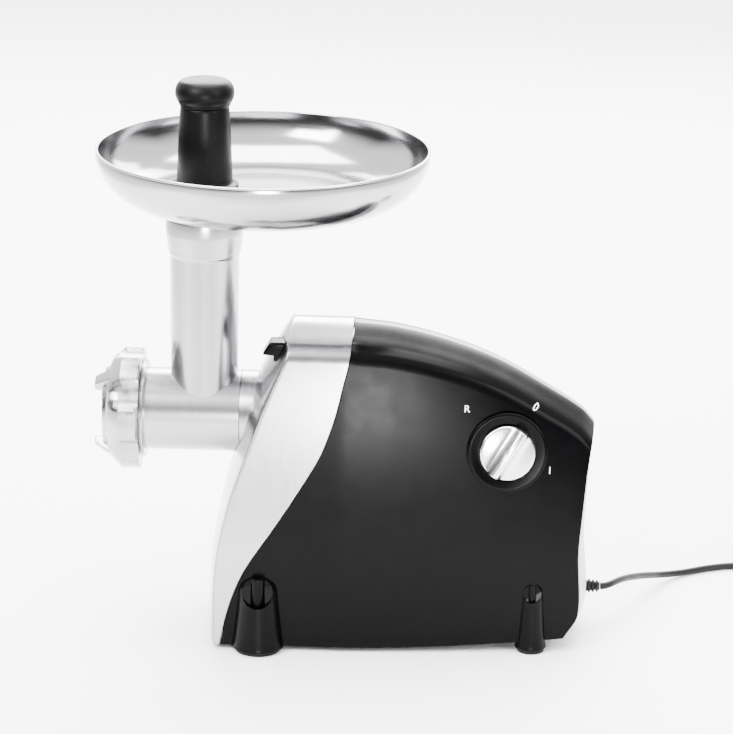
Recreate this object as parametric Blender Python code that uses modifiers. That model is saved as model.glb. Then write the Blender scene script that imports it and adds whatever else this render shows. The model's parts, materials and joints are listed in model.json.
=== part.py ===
"""Electric meat grinder: housing, motor, gear train, grinding head, hopper tray and cord.

Metres, +Z up. The grinding head points to -X, the control dial faces -Y, and the
feet stand on z = 0. The origin is under the middle of the machine.
"""
import math

import bmesh
import bpy
from mathutils import Matrix, Vector

# ---------------------------------------------------------------- driving dimensions
COLLECTION = "meat_grinder"
GAP = 0.0003                    # air left between neighbouring pieces

# head: barrel along X, feed tube along Z
AXIS_Z = 0.164                  # height of the barrel, auger and output gear
TUBE_X = -0.1035                # feed tube axis
BARREL_R = 0.030
BARREL_BORE = 0.0243
BARREL_REAR = -0.0763
SPIGOT_R = 0.024
SPIGOT_REAR = -0.058
THREAD_R = 0.0355               # threaded flange under the ring nut
THREAD_REAR = -0.1457
HEAD_FRONT = -0.163
TUBE_TOP = 0.310
TUBE_BORE = 0.0218
PLATE_SEAT = -0.1596            # rear face of the seat of the grinding plate
PLATE_R = 0.0268
PLATE_THICK = 0.0045
AUGER_R = 0.0237
AUGER_FRONT = -0.1556
AUGER_REAR = -0.0848
AUGER_TAIL = -0.046
AUGER_PITCH = 0.024

# ring nut
NUT_REAR = -0.149
NUT_FRONT = -0.176
NUT_LIP = -0.1648               # inner face of the front lip
NUT_TIP = -0.1825               # tips of the three prongs
NUT_R = 0.0444
NUT_BORE = 0.0360
NUT_MOUTH = 0.0215
NUT_LUGS = 6

# hopper tray and plunger
TRAY_X = -0.0615
TRAY_R = 0.120
TRAY_RIM = 0.3615
TRAY_FLOOR = 0.3220             # underside of the floor
TRAY_FLAT_R = 0.075
SHEET = 0.0016
SPOUT_R = 0.0236
SPOUT_BORE = 0.0216
PLUNGER_R = 0.0206
PLUNGER_END = 0.200
PLUNGER_TOP = 0.412

# housing
WALL = 0.0026
SEAM = 0.0008                   # width of the joint between cover and shells
RIDGE_Z = 0.237                 # top of the silver front cover
HALF_WIDTH_LOW = 0.062
HALF_WIDTH_TOP = 0.043
REAR_TAPER = 0.24
FOOT_TOP = 0.044
BASE_Z = 0.011
BASE_THICK = 0.0025

# control dial
DIAL = Vector((0.119, -0.0465, 0.1530))
DIAL_AXIS = Vector((0.085, -1.0, 0.12)).normalized()
DIAL_R = 0.0200
DIAL_DISH_R = 0.0286

# motor and gears
MOTOR_Z = 0.085
STATOR_FRONT = 0.010
STATOR_REAR = 0.052
STATOR_HALF = 0.040
SHAFT_R = 0.004
SHAFT_FRONT = -0.034
SHAFT_REAR = 0.132
CASE_FRONT = -0.054
CASE_REAR = -0.0257
CASE_WALL = 0.0027
AXLE_R = 0.003
# teeth and module of the three stages, wheel planes along X
STAGES = ((9, 39, 0.00100), (9, 35, 0.00125), (10, 38, 0.00125))
PLANE_A = (-0.0340, -0.0270)
PLANE_B = (-0.0420, -0.0350)
PLANE_C = (-0.0505, -0.0430)
FIRST_GEAR_TURN = math.radians(12.0)

# cord
CORD_R = 0.0026
RELIEF_END = 0.1915
CORD_Z = 0.034
# route of the cord from the strain relief to the coil, chosen by hand
CORD_ROUTE = (
    (0.1918, 0.0000, 0.0340), (0.1950, 0.0003, 0.0341), (0.1990, 0.0035, 0.0341),
    (0.2035, 0.0108, 0.0334), (0.2084, 0.0200, 0.0318), (0.2130, 0.0300, 0.0292),
    (0.2180, 0.0415, 0.0257), (0.2232, 0.0535, 0.0218), (0.2285, 0.0655, 0.0177),
    (0.2340, 0.0770, 0.0136), (0.2400, 0.0880, 0.0097), (0.2465, 0.0975, 0.0065),
    (0.2540, 0.1055, 0.0043), (0.2625, 0.1120, 0.0031), (0.2720, 0.1180, 0.0028),
    (0.2830, 0.1238, 0.0028), (0.2950, 0.1283, 0.0028), (0.3070, 0.1308, 0.0028),
    (0.3190, 0.1318, 0.0028), (0.3290, 0.1324, 0.0028), (0.3362, 0.1333, 0.0028),
)
COIL_AT = Vector((0.3500, 0.1710, 0.0))
COIL_OUTER = 0.0375
COIL_INNER = 0.0200
COIL_HIGH = 0.0160
PLUG_AT = Vector((0.3560, 0.1420, 0.0168))

# release button, with the stem and latch behind it
BUTTON_FRONT = -0.0595
BUTTON_REAR = -0.0415
BUTTON_Y = (-0.0320, -0.0150)
BUTTON_Z = (0.2160, 0.2262)
STEM_REAR = -0.0340
SPINE_T = 0.13                  # half-width of the spine strip, as a share of the roof

COLOURS = {
    "chrome": ((0.80, 0.81, 0.82), 0.16, 1.0),
    "cast_aluminium": ((0.72, 0.73, 0.74), 0.28, 1.0),
    "steel": ((0.62, 0.63, 0.65), 0.25, 1.0),
    "black_gloss": ((0.012, 0.012, 0.013), 0.22, 0.0),
    "black_matt": ((0.015, 0.015, 0.016), 0.55, 0.0),
    "grey_plastic": ((0.45, 0.45, 0.46), 0.40, 0.0),
    "rubber": ((0.02, 0.02, 0.02), 0.80, 0.0),
    "copper": ((0.72, 0.30, 0.14), 0.35, 1.0),
    "nylon": ((0.80, 0.78, 0.70), 0.50, 0.0),
    "brass": ((0.75, 0.58, 0.28), 0.30, 1.0),
}


# ---------------------------------------------------------------- scene set-up
def clear_scene():
    for old in list(bpy.data.objects):
        bpy.data.objects.remove(old)


def new_collection(name):
    found = bpy.data.collections.new(name)
    bpy.context.scene.collection.children.link(found)
    return found


def material(finish):
    found = bpy.data.materials.get(finish)
    if found is None:
        colour, rough, metal = COLOURS[finish]
        found = bpy.data.materials.new(finish)
        found.use_nodes = True
        shader = found.node_tree.nodes["Principled BSDF"]
        shader.inputs["Base Color"].default_value = (*colour, 1.0)
        shader.inputs["Roughness"].default_value = rough
        shader.inputs["Metallic"].default_value = metal
    return found


clear_scene()
PARTS = new_collection(COLLECTION)
CUTTERS = new_collection("cutters")


def keep(obj, finish, smooth_angle=35.0):
    """File an object among the parts, with its own copy of a finish."""
    PARTS.objects.link(obj)
    own = material(finish).copy()
    own.name = obj.name + "_" + finish
    obj.data.materials.append(own)
    if obj.type == "MESH":
        obj.data.shade_smooth()
        obj.data.set_sharp_from_angle(angle=math.radians(smooth_angle))
    return obj


def as_cutter(obj):
    CUTTERS.objects.link(obj)
    obj.hide_render = True
    obj.display_type = "WIRE"
    return obj


# ---------------------------------------------------------------- shape helpers
AIM = {
    "X": Matrix.Rotation(math.pi / 2, 4, "Y"),
    "-X": Matrix.Rotation(-math.pi / 2, 4, "Y"),
    "Y": Matrix.Rotation(-math.pi / 2, 4, "X"),
    "Z": Matrix.Identity(4),
}


def aimed(axis):
    """Turn that points local +Z along a named axis or along a vector."""
    if isinstance(axis, str):
        return AIM[axis]
    return axis.to_track_quat("Z", "Y").to_matrix().to_4x4()


def put(obj, at, axis):
    obj.matrix_world = Matrix.Translation(Vector(at)) @ aimed(axis)
    return obj


def turned(name, profile, at=(0, 0, 0), axis="Z", steps=32):
    """Turned solid. The profile is (radius, height) down its outer side."""
    mesh = bpy.data.meshes.new(name)
    points = [(r, 0.0, h) for r, h in profile]
    edges = [(i, i + 1) for i in range(len(points) - 1)]
    if profile[0][0] > 0.0:
        edges.append((len(points) - 1, 0))
    mesh.from_pydata(points, edges, [])
    obj = bpy.data.objects.new(name, mesh)
    screw = obj.modifiers.new("turn", "SCREW")
    screw.axis = "Z"
    screw.steps = steps
    screw.render_steps = steps
    screw.use_merge_vertices = True
    screw.merge_threshold = 0.00005
    return put(obj, at, axis)


def cylinder(name, radius, low, high, at=(0, 0, 0), axis="Z", steps=32):
    profile = [(0.0, high), (radius, high), (radius, low), (0.0, low)]
    return turned(name, profile, at, axis, steps)


def ring(name, inner, outer, low, high, at=(0, 0, 0), axis="Z", steps=32):
    profile = [(inner, high), (outer, high), (outer, low), (inner, low)]
    return turned(name, profile, at, axis, steps)


def box(name, low, high, bevel=0.0):
    mesh = bpy.data.meshes.new(name)
    bm = bmesh.new()
    bmesh.ops.create_cube(bm, size=1.0)
    size = Vector(high) - Vector(low)
    middle = (Vector(high) + Vector(low)) / 2
    bmesh.ops.scale(bm, vec=size, verts=bm.verts)
    bmesh.ops.translate(bm, vec=middle, verts=bm.verts)
    bm.to_mesh(mesh)
    bm.free()
    obj = bpy.data.objects.new(name, mesh)
    if bevel:
        soft = obj.modifiers.new("edge", "BEVEL")
        soft.width = bevel
        soft.segments = 2
    return obj


def flat(name, outlines, thick, at=(0, 0, 0), axis="Z"):
    """Flat plate from closed outlines; an outline inside another one is a hole."""
    curve = bpy.data.curves.new(name, "CURVE")
    curve.dimensions = "2D"
    curve.fill_mode = "BOTH"
    curve.extrude = thick / 2
    for outline in outlines:
        spline = curve.splines.new("POLY")
        spline.points.add(len(outline) - 1)
        for point, (x, y) in zip(spline.points, outline):
            point.co = (x, y, 0.0, 1.0)
        spline.use_cyclic_u = True
    drawn = bpy.data.objects.new(name + "_outline", curve)
    bpy.context.scene.collection.objects.link(drawn)
    drawn.matrix_world = Matrix.Translation(Vector(at)) @ aimed(axis)
    bpy.context.view_layer.update()
    solid = drawn.evaluated_get(bpy.context.evaluated_depsgraph_get())
    mesh = bpy.data.meshes.new_from_object(solid)
    bm = bmesh.new()
    bm.from_mesh(mesh)
    bmesh.ops.remove_doubles(bm, verts=bm.verts, dist=0.00002)
    bmesh.ops.recalc_face_normals(bm, faces=bm.faces)
    bm.to_mesh(mesh)
    bm.free()
    obj = bpy.data.objects.new(name, mesh)
    obj.matrix_world = drawn.matrix_world
    bpy.data.objects.remove(drawn)
    return obj


def circle(radius, count, at=(0.0, 0.0), start=0.0):
    return [
        (at[0] + radius * math.cos(start + math.tau * i / count),
         at[1] + radius * math.sin(start + math.tau * i / count))
        for i in range(count)
    ]


def boolean(obj, other, operation):
    step = obj.modifiers.new(operation.lower(), "BOOLEAN")
    step.operation = operation
    step.solver = "EXACT"
    step.object = other
    return obj


def cut(obj, cutter):
    if not cutter.users_collection:
        as_cutter(cutter)
    return boolean(obj, cutter, "DIFFERENCE")


def join(obj, other):
    if not other.users_collection:
        as_cutter(other)
    return boolean(obj, other, "UNION")


def curve_through(*points):
    """Smooth function through a few (position, value) points, in rising order."""
    xs = [p[0] for p in points]
    ys = [p[1] for p in points]
    slopes = []
    for i in range(len(points)):
        low = max(i - 1, 0)
        high = min(i + 1, len(points) - 1)
        slopes.append((ys[high] - ys[low]) / (xs[high] - xs[low]))

    def value(x):
        x = min(max(x, xs[0]), xs[-1])
        i = 0
        while i < len(xs) - 2 and x > xs[i + 1]:
            i += 1
        span = xs[i + 1] - xs[i]
        s = (x - xs[i]) / span
        return (ys[i] * (1 + 2 * s) * (1 - s) ** 2 + slopes[i] * span * s * (1 - s) ** 2
                + ys[i + 1] * s * s * (3 - 2 * s) + slopes[i + 1] * span * s * s * (s - 1))

    return value


# ---------------------------------------------------------------- housing surface
FRONT_EDGE = curve_through(
    (0.004, -0.092), (0.064, -0.0907), (0.109, -0.0822), (0.134, -0.0737),
    (0.177, -0.0587), (0.2195, -0.0405), (0.237, -0.0330))
FRONT_BULGE = curve_through(
    (0.004, 0.0060), (0.100, 0.0055), (0.140, 0.0080), (0.190, 0.0125),
    (0.2245, 0.0090), (0.237, 0.0050))
WAVE = curve_through(
    (0.004, -0.0870), (0.029, -0.0817), (0.050, -0.0747), (0.067, -0.0660),
    (0.093, -0.0488), (0.1205, -0.0315), (0.150, -0.0147), (0.178, -0.0050),
    (0.197, -0.0005), (0.220, 0.0048), (0.237, 0.0060))
REAR_EDGE = curve_through(
    (0.004, 0.1640), (0.021, 0.1741), (0.070, 0.1731), (0.102, 0.1751),
    (0.140, 0.1781), (0.165, 0.1810))
REAR_BULGE = curve_through((0.004, 0.0040), (0.025, 0.0060), (0.125, 0.0022), (0.165, 0.0015))
RIDGE = curve_through(
    (0.006, 0.2362), (0.0387, 0.2329), (0.075, 0.2243), (0.1114, 0.2108),
    (0.1484, 0.1903), (0.1731, 0.1745), (0.183, 0.1635))
ROOF = curve_through(
    (0.0, 0.0), (0.20, 0.0013), (0.50, 0.0049), (0.79, 0.0088), (0.90, 0.0118),
    (0.96, 0.0142), (1.0, 0.0175))


def bottom(x):
    return 0.004 + 0.0065 * max(x / 0.165, 0.0) ** 2


def taper(x):
    return 1.0 - REAR_TAPER * max(x / 0.165, 0.0) ** 1.3


def half_width(x, v):
    low = HALF_WIDTH_LOW
    return (low - (low - HALF_WIDTH_TOP) * v ** 2.2) * taper(x)


def rim_height(x, t):
    ridge = RIDGE_Z if x < 0.006 else RIDGE(x)
    return ridge - ROOF(abs(t))


def line_point(line, bulge, top, t, v):
    z = 0.004 + v * (top - 0.004)
    return line(z) + bulge(z) * (1.0 - t * t)


def skin(part, s, t, v, out=0.0):
    """Point of the housing: s from front to rear, t across, v from bottom to top."""
    if part == "cover":
        start = line_point(FRONT_EDGE, lambda z: -FRONT_BULGE(z), RIDGE_Z - ROOF(abs(t)), t, v)
        end = line_point(WAVE, lambda z: 0.0, RIDGE_Z - ROOF(abs(t)), t, v) - SEAM / 2
    else:
        start = line_point(WAVE, lambda z: 0.0, RIDGE_Z - ROOF(abs(t)), t, v) + SEAM / 2
        end = line_point(REAR_EDGE, REAR_BULGE, 0.165 - 0.6 * ROOF(abs(t)), t, v)
    x = start + s * (end - start)
    low = bottom(x)
    high = rim_height(x, t)
    z = low + v * (high - low)
    y = t * half_width(x, v)
    grow = Vector((0.0, out * (1 if t > 0 else -1) if t else 0.0, 0.0))
    return Vector((x, y, z)) + grow


def section(low_t, high_t, across, up):
    """(t, v) pairs over the roof between two t, with the sides where t reaches 1."""
    pairs = []
    if low_t <= -1.0:
        pairs += [(-1.0, i / up) for i in range(up)]
    pairs += [(low_t + (high_t - low_t) * i / across, 1.0) for i in range(across + 1)]
    if high_t >= 1.0:
        pairs += [(1.0, 1.0 - i / up) for i in range(1, up + 1)]
    return pairs


def shell(name, part, low_t, high_t, across, up, along, face=False, inset=0.0):
    """Moulded shell of the housing's skin, with its wall inside the skin."""
    bm = bmesh.new()
    pairs = section(low_t, high_t, across, up)
    rows = [[bm.verts.new(skin(part, inset + (1 - inset) * i / along, t, v)) for t, v in pairs]
            for i in range(along + 1)]
    for i in range(along):
        for j in range(len(pairs) - 1):
            bm.faces.new((rows[i][j], rows[i + 1][j], rows[i + 1][j + 1], rows[i][j + 1]))
    if face:
        ts = [low_t + (high_t - low_t) * i / across for i in range(across + 1)]
        grid = [[bm.verts.new(skin(part, 0.0, t, j / up)) for t in ts] for j in range(up + 1)]
        for j in range(up):
            for i in range(across):
                bm.faces.new((grid[j][i], grid[j + 1][i], grid[j + 1][i + 1], grid[j][i + 1]))
    bmesh.ops.remove_doubles(bm, verts=bm.verts, dist=0.00002)
    bmesh.ops.recalc_face_normals(bm, faces=bm.faces)
    seen = bm.faces[0]
    if seen.normal.dot(seen.calc_center_median() - Vector((0.05, 0.0, 0.1))) < 0:
        bmesh.ops.reverse_faces(bm, faces=bm.faces)
    mesh = bpy.data.meshes.new(name)
    bm.to_mesh(mesh)
    bm.free()
    obj = bpy.data.objects.new(name, mesh)
    wall = obj.modifiers.new("wall", "SOLIDIFY")
    wall.thickness = WALL
    wall.offset = -1.0
    wall.use_even_offset = True
    return obj


def make_housing():
    cover = shell("front_cover", "cover", -1.0, 1.0, 8, 9, 4, face=True)
    cut(cover, cylinder("head_opening", BARREL_R + 0.0005, -0.100, -0.045,
                        (0, 0, AXIS_Z), "X"))
    margin = 0.0008
    cut(cover, box("button_opening", (-0.075, BUTTON_Y[0] - margin, BUTTON_Z[0] - margin),
                   (-0.035, BUTTON_Y[1] + margin, BUTTON_Z[1] + margin)))
    keep(cover, "chrome")

    right = shell("right_shell", "body", -1.0, -SPINE_T - 0.020, 4, 9, 9)
    dial_hole = cylinder("dial_hole", DIAL_DISH_R + GAP, -0.020, 0.012, DIAL, DIAL_AXIS)
    cut(right, dial_hole)
    keep(right, "black_gloss")
    left = shell("left_shell", "body", SPINE_T + 0.020, 1.0, 4, 9, 9)
    keep(left, "black_gloss")
    spine = shell("spine_strip", "body", -SPINE_T, SPINE_T, 2, 1, 9)
    keep(spine, "grey_plastic")
    make_rear_panel()


def make_rear_panel():
    """Grey cover that closes the rear, inside the shells' edges."""
    bm = bmesh.new()
    across, up = 6, 8
    grid = []
    for j in range(up + 1):
        v = 0.045 + 0.90 * j / up
        grid.append([])
        for i in range(across + 1):
            t = 2.0 * i / across - 1.0
            edge = skin("body", 1.0, t, v)
            y = t * (half_width(edge.x, v) - WALL - 0.0008)
            grid[-1].append(bm.verts.new((edge.x + 0.0006, y, edge.z)))
    for j in range(up):
        for i in range(across):
            bm.faces.new((grid[j][i], grid[j][i + 1], grid[j + 1][i + 1], grid[j + 1][i]))
    bmesh.ops.recalc_face_normals(bm, faces=bm.faces)
    if bm.faces[0].normal.x < 0:
        bmesh.ops.reverse_faces(bm, faces=bm.faces)
    mesh = bpy.data.meshes.new("rear_panel")
    bm.to_mesh(mesh)
    bm.free()
    panel = bpy.data.objects.new("rear_panel", mesh)
    wall = panel.modifiers.new("wall", "SOLIDIFY")
    wall.thickness = WALL
    wall.offset = -1.0
    cut(panel, cylinder("relief_hole", 0.0063, 0.160, 0.200, (0, 0, CORD_Z), "X", 16))
    keep(panel, "grey_plastic")


def base_outline():
    """Plan of the base plate, inside the walls of the shells."""
    side = []
    for i in range(11):
        x = -0.086 + (0.1660 + 0.086) * i / 10
        side.append((x, half_width(x, 0.04) - WALL - 0.0012))
    side[0] = (side[0][0], side[0][1] - 0.006)
    return [(x, -y) for x, y in side] + [(x, y) for x, y in reversed(side)]


SCREW_SPOTS = ((-0.030, -0.048), (-0.030, 0.048), (0.120, -0.036), (0.120, 0.036))


def make_base():
    middle = BASE_Z + BASE_THICK / 2
    holes = [circle(0.0023, 12, at) for at in SCREW_SPOTS]
    plate = flat("base_plate", [base_outline()] + holes, BASE_THICK, (0, 0, middle))
    keep(plate, "black_matt")
    for number, (x, y) in enumerate(SCREW_SPOTS, 1):
        screw = turned("base_screw_%d" % number, [
            (0.0, 0.028), (0.0020, 0.028), (0.0020, BASE_Z - GAP), (0.0040, BASE_Z - GAP),
            (0.0040, BASE_Z - 0.0022), (0.0, BASE_Z - 0.0022)], (x, y, 0), "Z", 12)
        keep(screw, "steel")


FEET = (
    ("foot_front_right", -0.0590, -0.0585, 0.0195, 0.0145),
    ("foot_front_left", -0.0590, 0.0585, 0.0195, 0.0145),
    ("foot_rear_right", 0.1405, -0.0450, 0.0118, 0.0085),
    ("foot_rear_left", 0.1405, 0.0450, 0.0118, 0.0085),
)


def make_feet():
    """Half cones moulded on the sides, each with a rubber pad under it."""
    body = body_block()
    for name, x, y, wide, narrow in FEET:
        foot = turned(name, [
            (0.0, FOOT_TOP), (narrow, FOOT_TOP), (wide - 0.001, 0.006), (wide, 0.0030),
            (0.0, 0.0030)], (x, y, 0), "Z", 24)
        cut(foot, body)
        well_y = y + math.copysign(narrow * 0.14, y)
        cut(foot, cylinder(name + "_well", narrow * 0.70, FOOT_TOP - 0.010,
                           FOOT_TOP + 0.010, (x, well_y, 0), "Z", 12))
        keep(foot, "black_gloss")
        pad = cylinder(name.replace("foot", "pad"), wide * 0.86, 0.0, 0.0030 - GAP,
                       (x, y, 0), "Z", 24)
        keep(pad, "rubber")


def body_block():
    """Closed block of the housing's outer form plus a gap, to trim what stands on it."""
    bm = bmesh.new()
    along, up = 24, 14
    sides = []
    for sign in (-1.0, 1.0):
        grid = []
        for i in range(along + 1):
            part = "cover" if i < 9 else "body"
            s = i / 8 if i < 9 else (i - 8) / (along - 8)
            row = []
            for j in range(up + 1):
                v = -0.03 + 0.60 * j / up
                spot = skin(part, s, sign, max(v, 0.0), GAP)
                if v < 0.0:
                    spot.z -= 0.003
                row.append(bm.verts.new(spot))
            grid.append(row)
        sides.append(grid)
    near, far = sides
    for i in range(along):
        for j in range(up):
            bm.faces.new((near[i][j], near[i + 1][j], near[i + 1][j + 1], near[i][j + 1]))
            bm.faces.new((far[i][j], far[i][j + 1], far[i + 1][j + 1], far[i + 1][j]))
        bm.faces.new((near[i][up], near[i + 1][up], far[i + 1][up], far[i][up]))
        bm.faces.new((near[i][0], far[i][0], far[i + 1][0], near[i + 1][0]))
    for j in range(up):
        bm.faces.new((near[0][j], near[0][j + 1], far[0][j + 1], far[0][j]))
        bm.faces.new((near[along][j], far[along][j], far[along][j + 1], near[along][j + 1]))
    bmesh.ops.recalc_face_normals(bm, faces=bm.faces)
    mesh = bpy.data.meshes.new("body_block")
    bm.to_mesh(mesh)
    bm.free()
    return as_cutter(bpy.data.objects.new("body_block", mesh))


# ---------------------------------------------------------------- control dial
def make_dial():
    dish = turned("dial_dish", [
        (0.0215, 0.0002), (DIAL_DISH_R - 0.001, 0.0008), (DIAL_DISH_R, 0.0002),
        (DIAL_DISH_R, -0.0060), (0.0050, -0.0060), (0.0050, -0.0040), (0.0215, -0.0040)],
        DIAL, DIAL_AXIS, 28)
    keep(dish, "black_gloss")
    knob = turned("dial_knob", [
        (0.0, 0.0075), (0.0170, 0.0068), (0.0193, 0.0050), (DIAL_R, 0.0020),
        (DIAL_R, -0.0036), (0.0046, -0.0036), (0.0046, 0.0010), (0.0, 0.0010)],
        DIAL, DIAL_AXIS, 28)
    off = math.radians(57.0)
    turn = aimed(DIAL_AXIS)
    grip = box("dial_grip", (-0.0175, -0.0035, 0.0020), (0.0175, 0.0035, 0.0125), 0.0012)
    upright = turn.to_3x3().inverted() @ Vector((math.cos(off), 0.0, math.sin(off)))
    spin = Matrix.Rotation(math.atan2(upright.y, upright.x), 4, "Z")
    grip.matrix_world = Matrix.Translation(DIAL) @ turn @ spin
    join(knob, grip)
    keep(knob, "chrome")
    spindle = cylinder("dial_spindle", 0.0030, -0.0120, 0.0006, DIAL, DIAL_AXIS, 12)
    keep(spindle, "brass")
    switch = box("rotary_switch", (-0.014, -0.011, -0.0270), (0.014, 0.011, -0.0125), 0.001)
    put(switch, DIAL, DIAL_AXIS)
    keep(switch, "black_matt")


# ---------------------------------------------------------------- release button

def make_release():
    low_y, high_y = BUTTON_Y
    low_z, high_z = BUTTON_Z
    button = box("release_button", (BUTTON_FRONT, low_y, low_z), (BUTTON_REAR, high_y, high_z),
                 0.0020)
    stem = box("release_stem", (BUTTON_REAR - 0.0015, low_y + 0.005, low_z + 0.002),
               (STEM_REAR, high_y - 0.005, low_z + 0.0075))
    join(button, stem)
    keep(button, "black_gloss")
    arm = box("latch_arm", (STEM_REAR + GAP, -0.024, 0.2020), (STEM_REAR + 0.004, -0.016, 0.2210))
    keep(arm, "steel")
    spring = coil_spring("latch_spring", 0.0032, 0.0005, 4, STEM_REAR + 0.0045,
                         STEM_REAR + 0.0135, (-0.020, 0.2173))
    keep(spring, "steel")
    stop = box("spring_stop", (STEM_REAR + 0.0142, -0.026, 0.2020),
               (STEM_REAR + 0.0172, -0.014, 0.2225))
    keep(stop, "black_matt")


def coil_spring(name, radius, wire, turns, start, end, at):
    """Round wire wound about a line along X."""
    curve = bpy.data.curves.new(name, "CURVE")
    curve.dimensions = "3D"
    curve.bevel_depth = wire
    curve.bevel_resolution = 1
    curve.use_fill_caps = True
    spline = curve.splines.new("POLY")
    count = turns * 8
    spline.points.add(count)
    for i, point in enumerate(spline.points):
        angle = math.tau * turns * i / count
        x = start + wire + (end - start - 2 * wire) * i / count
        point.co = (x, at[0] + radius * math.cos(angle), at[1] + radius * math.sin(angle), 1.0)
    return bpy.data.objects.new(name, curve)


# ---------------------------------------------------------------- grinding head
def make_head():
    """One casting: barrel, threaded flange, spigot and feed tube."""
    socket = turned("head_socket", [
        (SPIGOT_R + 0.0004, -0.0560), (0.0325, -0.0560), (0.0325, -0.0580),
        (BARREL_R, -0.0600), (BARREL_R, -0.0760), (SPIGOT_R + 0.0004, -0.0760)],
        (0, 0, AXIS_Z), "X", 28)
    keep(socket, "cast_aluminium")

    head = turned("grinder_head", [
        (0.0, SPIGOT_REAR), (SPIGOT_R, SPIGOT_REAR), (SPIGOT_R, BARREL_REAR),
        (BARREL_R, BARREL_REAR), (BARREL_R, THREAD_REAR), (THREAD_R, THREAD_REAR),
        (THREAD_R, HEAD_FRONT), (0.0, HEAD_FRONT)], (0, 0, AXIS_Z), "X", 28)
    tube = turned("feed_tube", [
        (0.0, TUBE_TOP), (0.0282, TUBE_TOP), (0.0282, 0.300), (0.0264, 0.287),
        (0.0262, 0.284), (0.0252, 0.283), (0.0246, 0.195), (0.0246, AXIS_Z), (0.0, AXIS_Z)],
        (TUBE_X, 0, 0), "Z", 24)
    join(head, tube)
    bore = turned("barrel_bore", [
        (0.0, SPIGOT_REAR + 0.001), (0.0100, SPIGOT_REAR + 0.001), (0.0100, -0.0700),
        (0.0066, -0.0700), (0.0066, -0.0825),
        (BARREL_BORE, -0.0825), (BARREL_BORE, PLATE_SEAT + GAP), (PLATE_R + GAP, PLATE_SEAT + GAP),
        (PLATE_R + GAP, HEAD_FRONT - 0.001), (0.0, HEAD_FRONT - 0.001)],
        (0, 0, AXIS_Z), "X", 28)
    cut(head, bore)
    feed = turned("feed_bore", [
        (0.0, TUBE_TOP + 0.001), (SPOUT_R + 0.0004, TUBE_TOP + 0.001),
        (SPOUT_R + 0.0004, 0.2955), (TUBE_BORE, 0.2955), (TUBE_BORE, AXIS_Z), (0.0, AXIS_Z)],
        (TUBE_X, 0, 0), "Z", 24)
    cut(head, feed)
    keep(head, "cast_aluminium")


def polygon_radius(corner, sides, angle):
    """Distance from the middle of a regular polygon to its edge."""
    half = math.pi / sides
    return corner * math.cos(half) / math.cos(angle % (2 * half) - half)


def flight_radius(share, angle):
    """Radius of the screw: a raised thread wound round a tapering core."""
    core = 0.0115 - 0.0025 * share
    phase = (angle / math.tau - share * (AUGER_REAR - AUGER_FRONT) / AUGER_PITCH) % 1.0
    crest = max(0.0, 1.0 - abs(phase - 0.5) / 0.22)
    return core + (AUGER_R - core) * min(1.0, crest * 1.7)


def make_auger():
    """Square pin, screw, round neck and six-sided tail in one casting."""
    around, along = 12, 30
    rows = [(x, lambda angle: polygon_radius(0.0036, 4, angle))
            for x in (HEAD_FRONT - 0.0005, AUGER_FRONT)]
    for i in range(along + 1):
        share = i / along
        rows.append((AUGER_FRONT + share * (AUGER_REAR - AUGER_FRONT),
                     lambda angle, share=share: flight_radius(share, angle)))
    rows += [(x, lambda angle: 0.0060) for x in (AUGER_REAR, -0.0700)]
    rows += [(x, lambda angle: polygon_radius(0.0056, 6, angle)) for x in (-0.0700, AUGER_TAIL)]
    bm = bmesh.new()
    rings = []
    for x, radius in rows:
        angles = [math.tau * j / around for j in range(around)]
        rings.append([bm.verts.new((x, radius(a) * math.cos(a), AXIS_Z + radius(a) * math.sin(a)))
                      for a in angles])
    for low, high in zip(rings, rings[1:]):
        for j in range(around):
            k = (j + 1) % around
            bm.faces.new((low[j], low[k], high[k], high[j]))
    bm.faces.new(rings[0])
    bm.faces.new(rings[-1])
    bmesh.ops.recalc_face_normals(bm, faces=bm.faces)
    mesh = bpy.data.meshes.new("auger")
    bm.to_mesh(mesh)
    bm.free()
    keep(bpy.data.objects.new("auger", mesh), "cast_aluminium")
    washer = ring("auger_washer", 0.0064, 0.0110, -0.0845 + GAP, -0.0828, (0, 0, AXIS_Z), "X", 24)
    keep(washer, "nylon")


def knife_outline():
    """Cross of four blades with a slight sickle to each leading edge."""
    outline = []
    for blade in range(4):
        turn = math.pi / 2 * blade
        for radius, angle in ((0.0095, -0.62), (0.0150, -0.26), (0.0228, -0.16),
                              (0.0228, 0.16), (0.0130, 0.30)):
            outline.append((radius * math.cos(turn + angle), radius * math.sin(turn + angle)))
    return outline


def make_cutters():
    hole = circle(0.0040, 4)
    knife = flat("knife", [knife_outline(), hole], 0.0032, (-0.1577, 0, AXIS_Z), "X")
    keep(knife, "steel")
    holes = [circle(0.0042, 16)]
    for count, radius in ((5, 0.0095), (10, 0.0160), (14, 0.0224)):
        for i in range(count):
            angle = math.tau * (i + 0.5) / count
            spot = (radius * math.cos(angle), radius * math.sin(angle))
            holes.append(circle(0.0027, 6, spot, angle))
    middle = PLATE_SEAT - PLATE_THICK / 2
    plate = flat("grinding_plate", [circle(PLATE_R, 28)] + holes, PLATE_THICK,
                 (middle, 0, AXIS_Z), "X")
    keep(plate, "steel")


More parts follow.
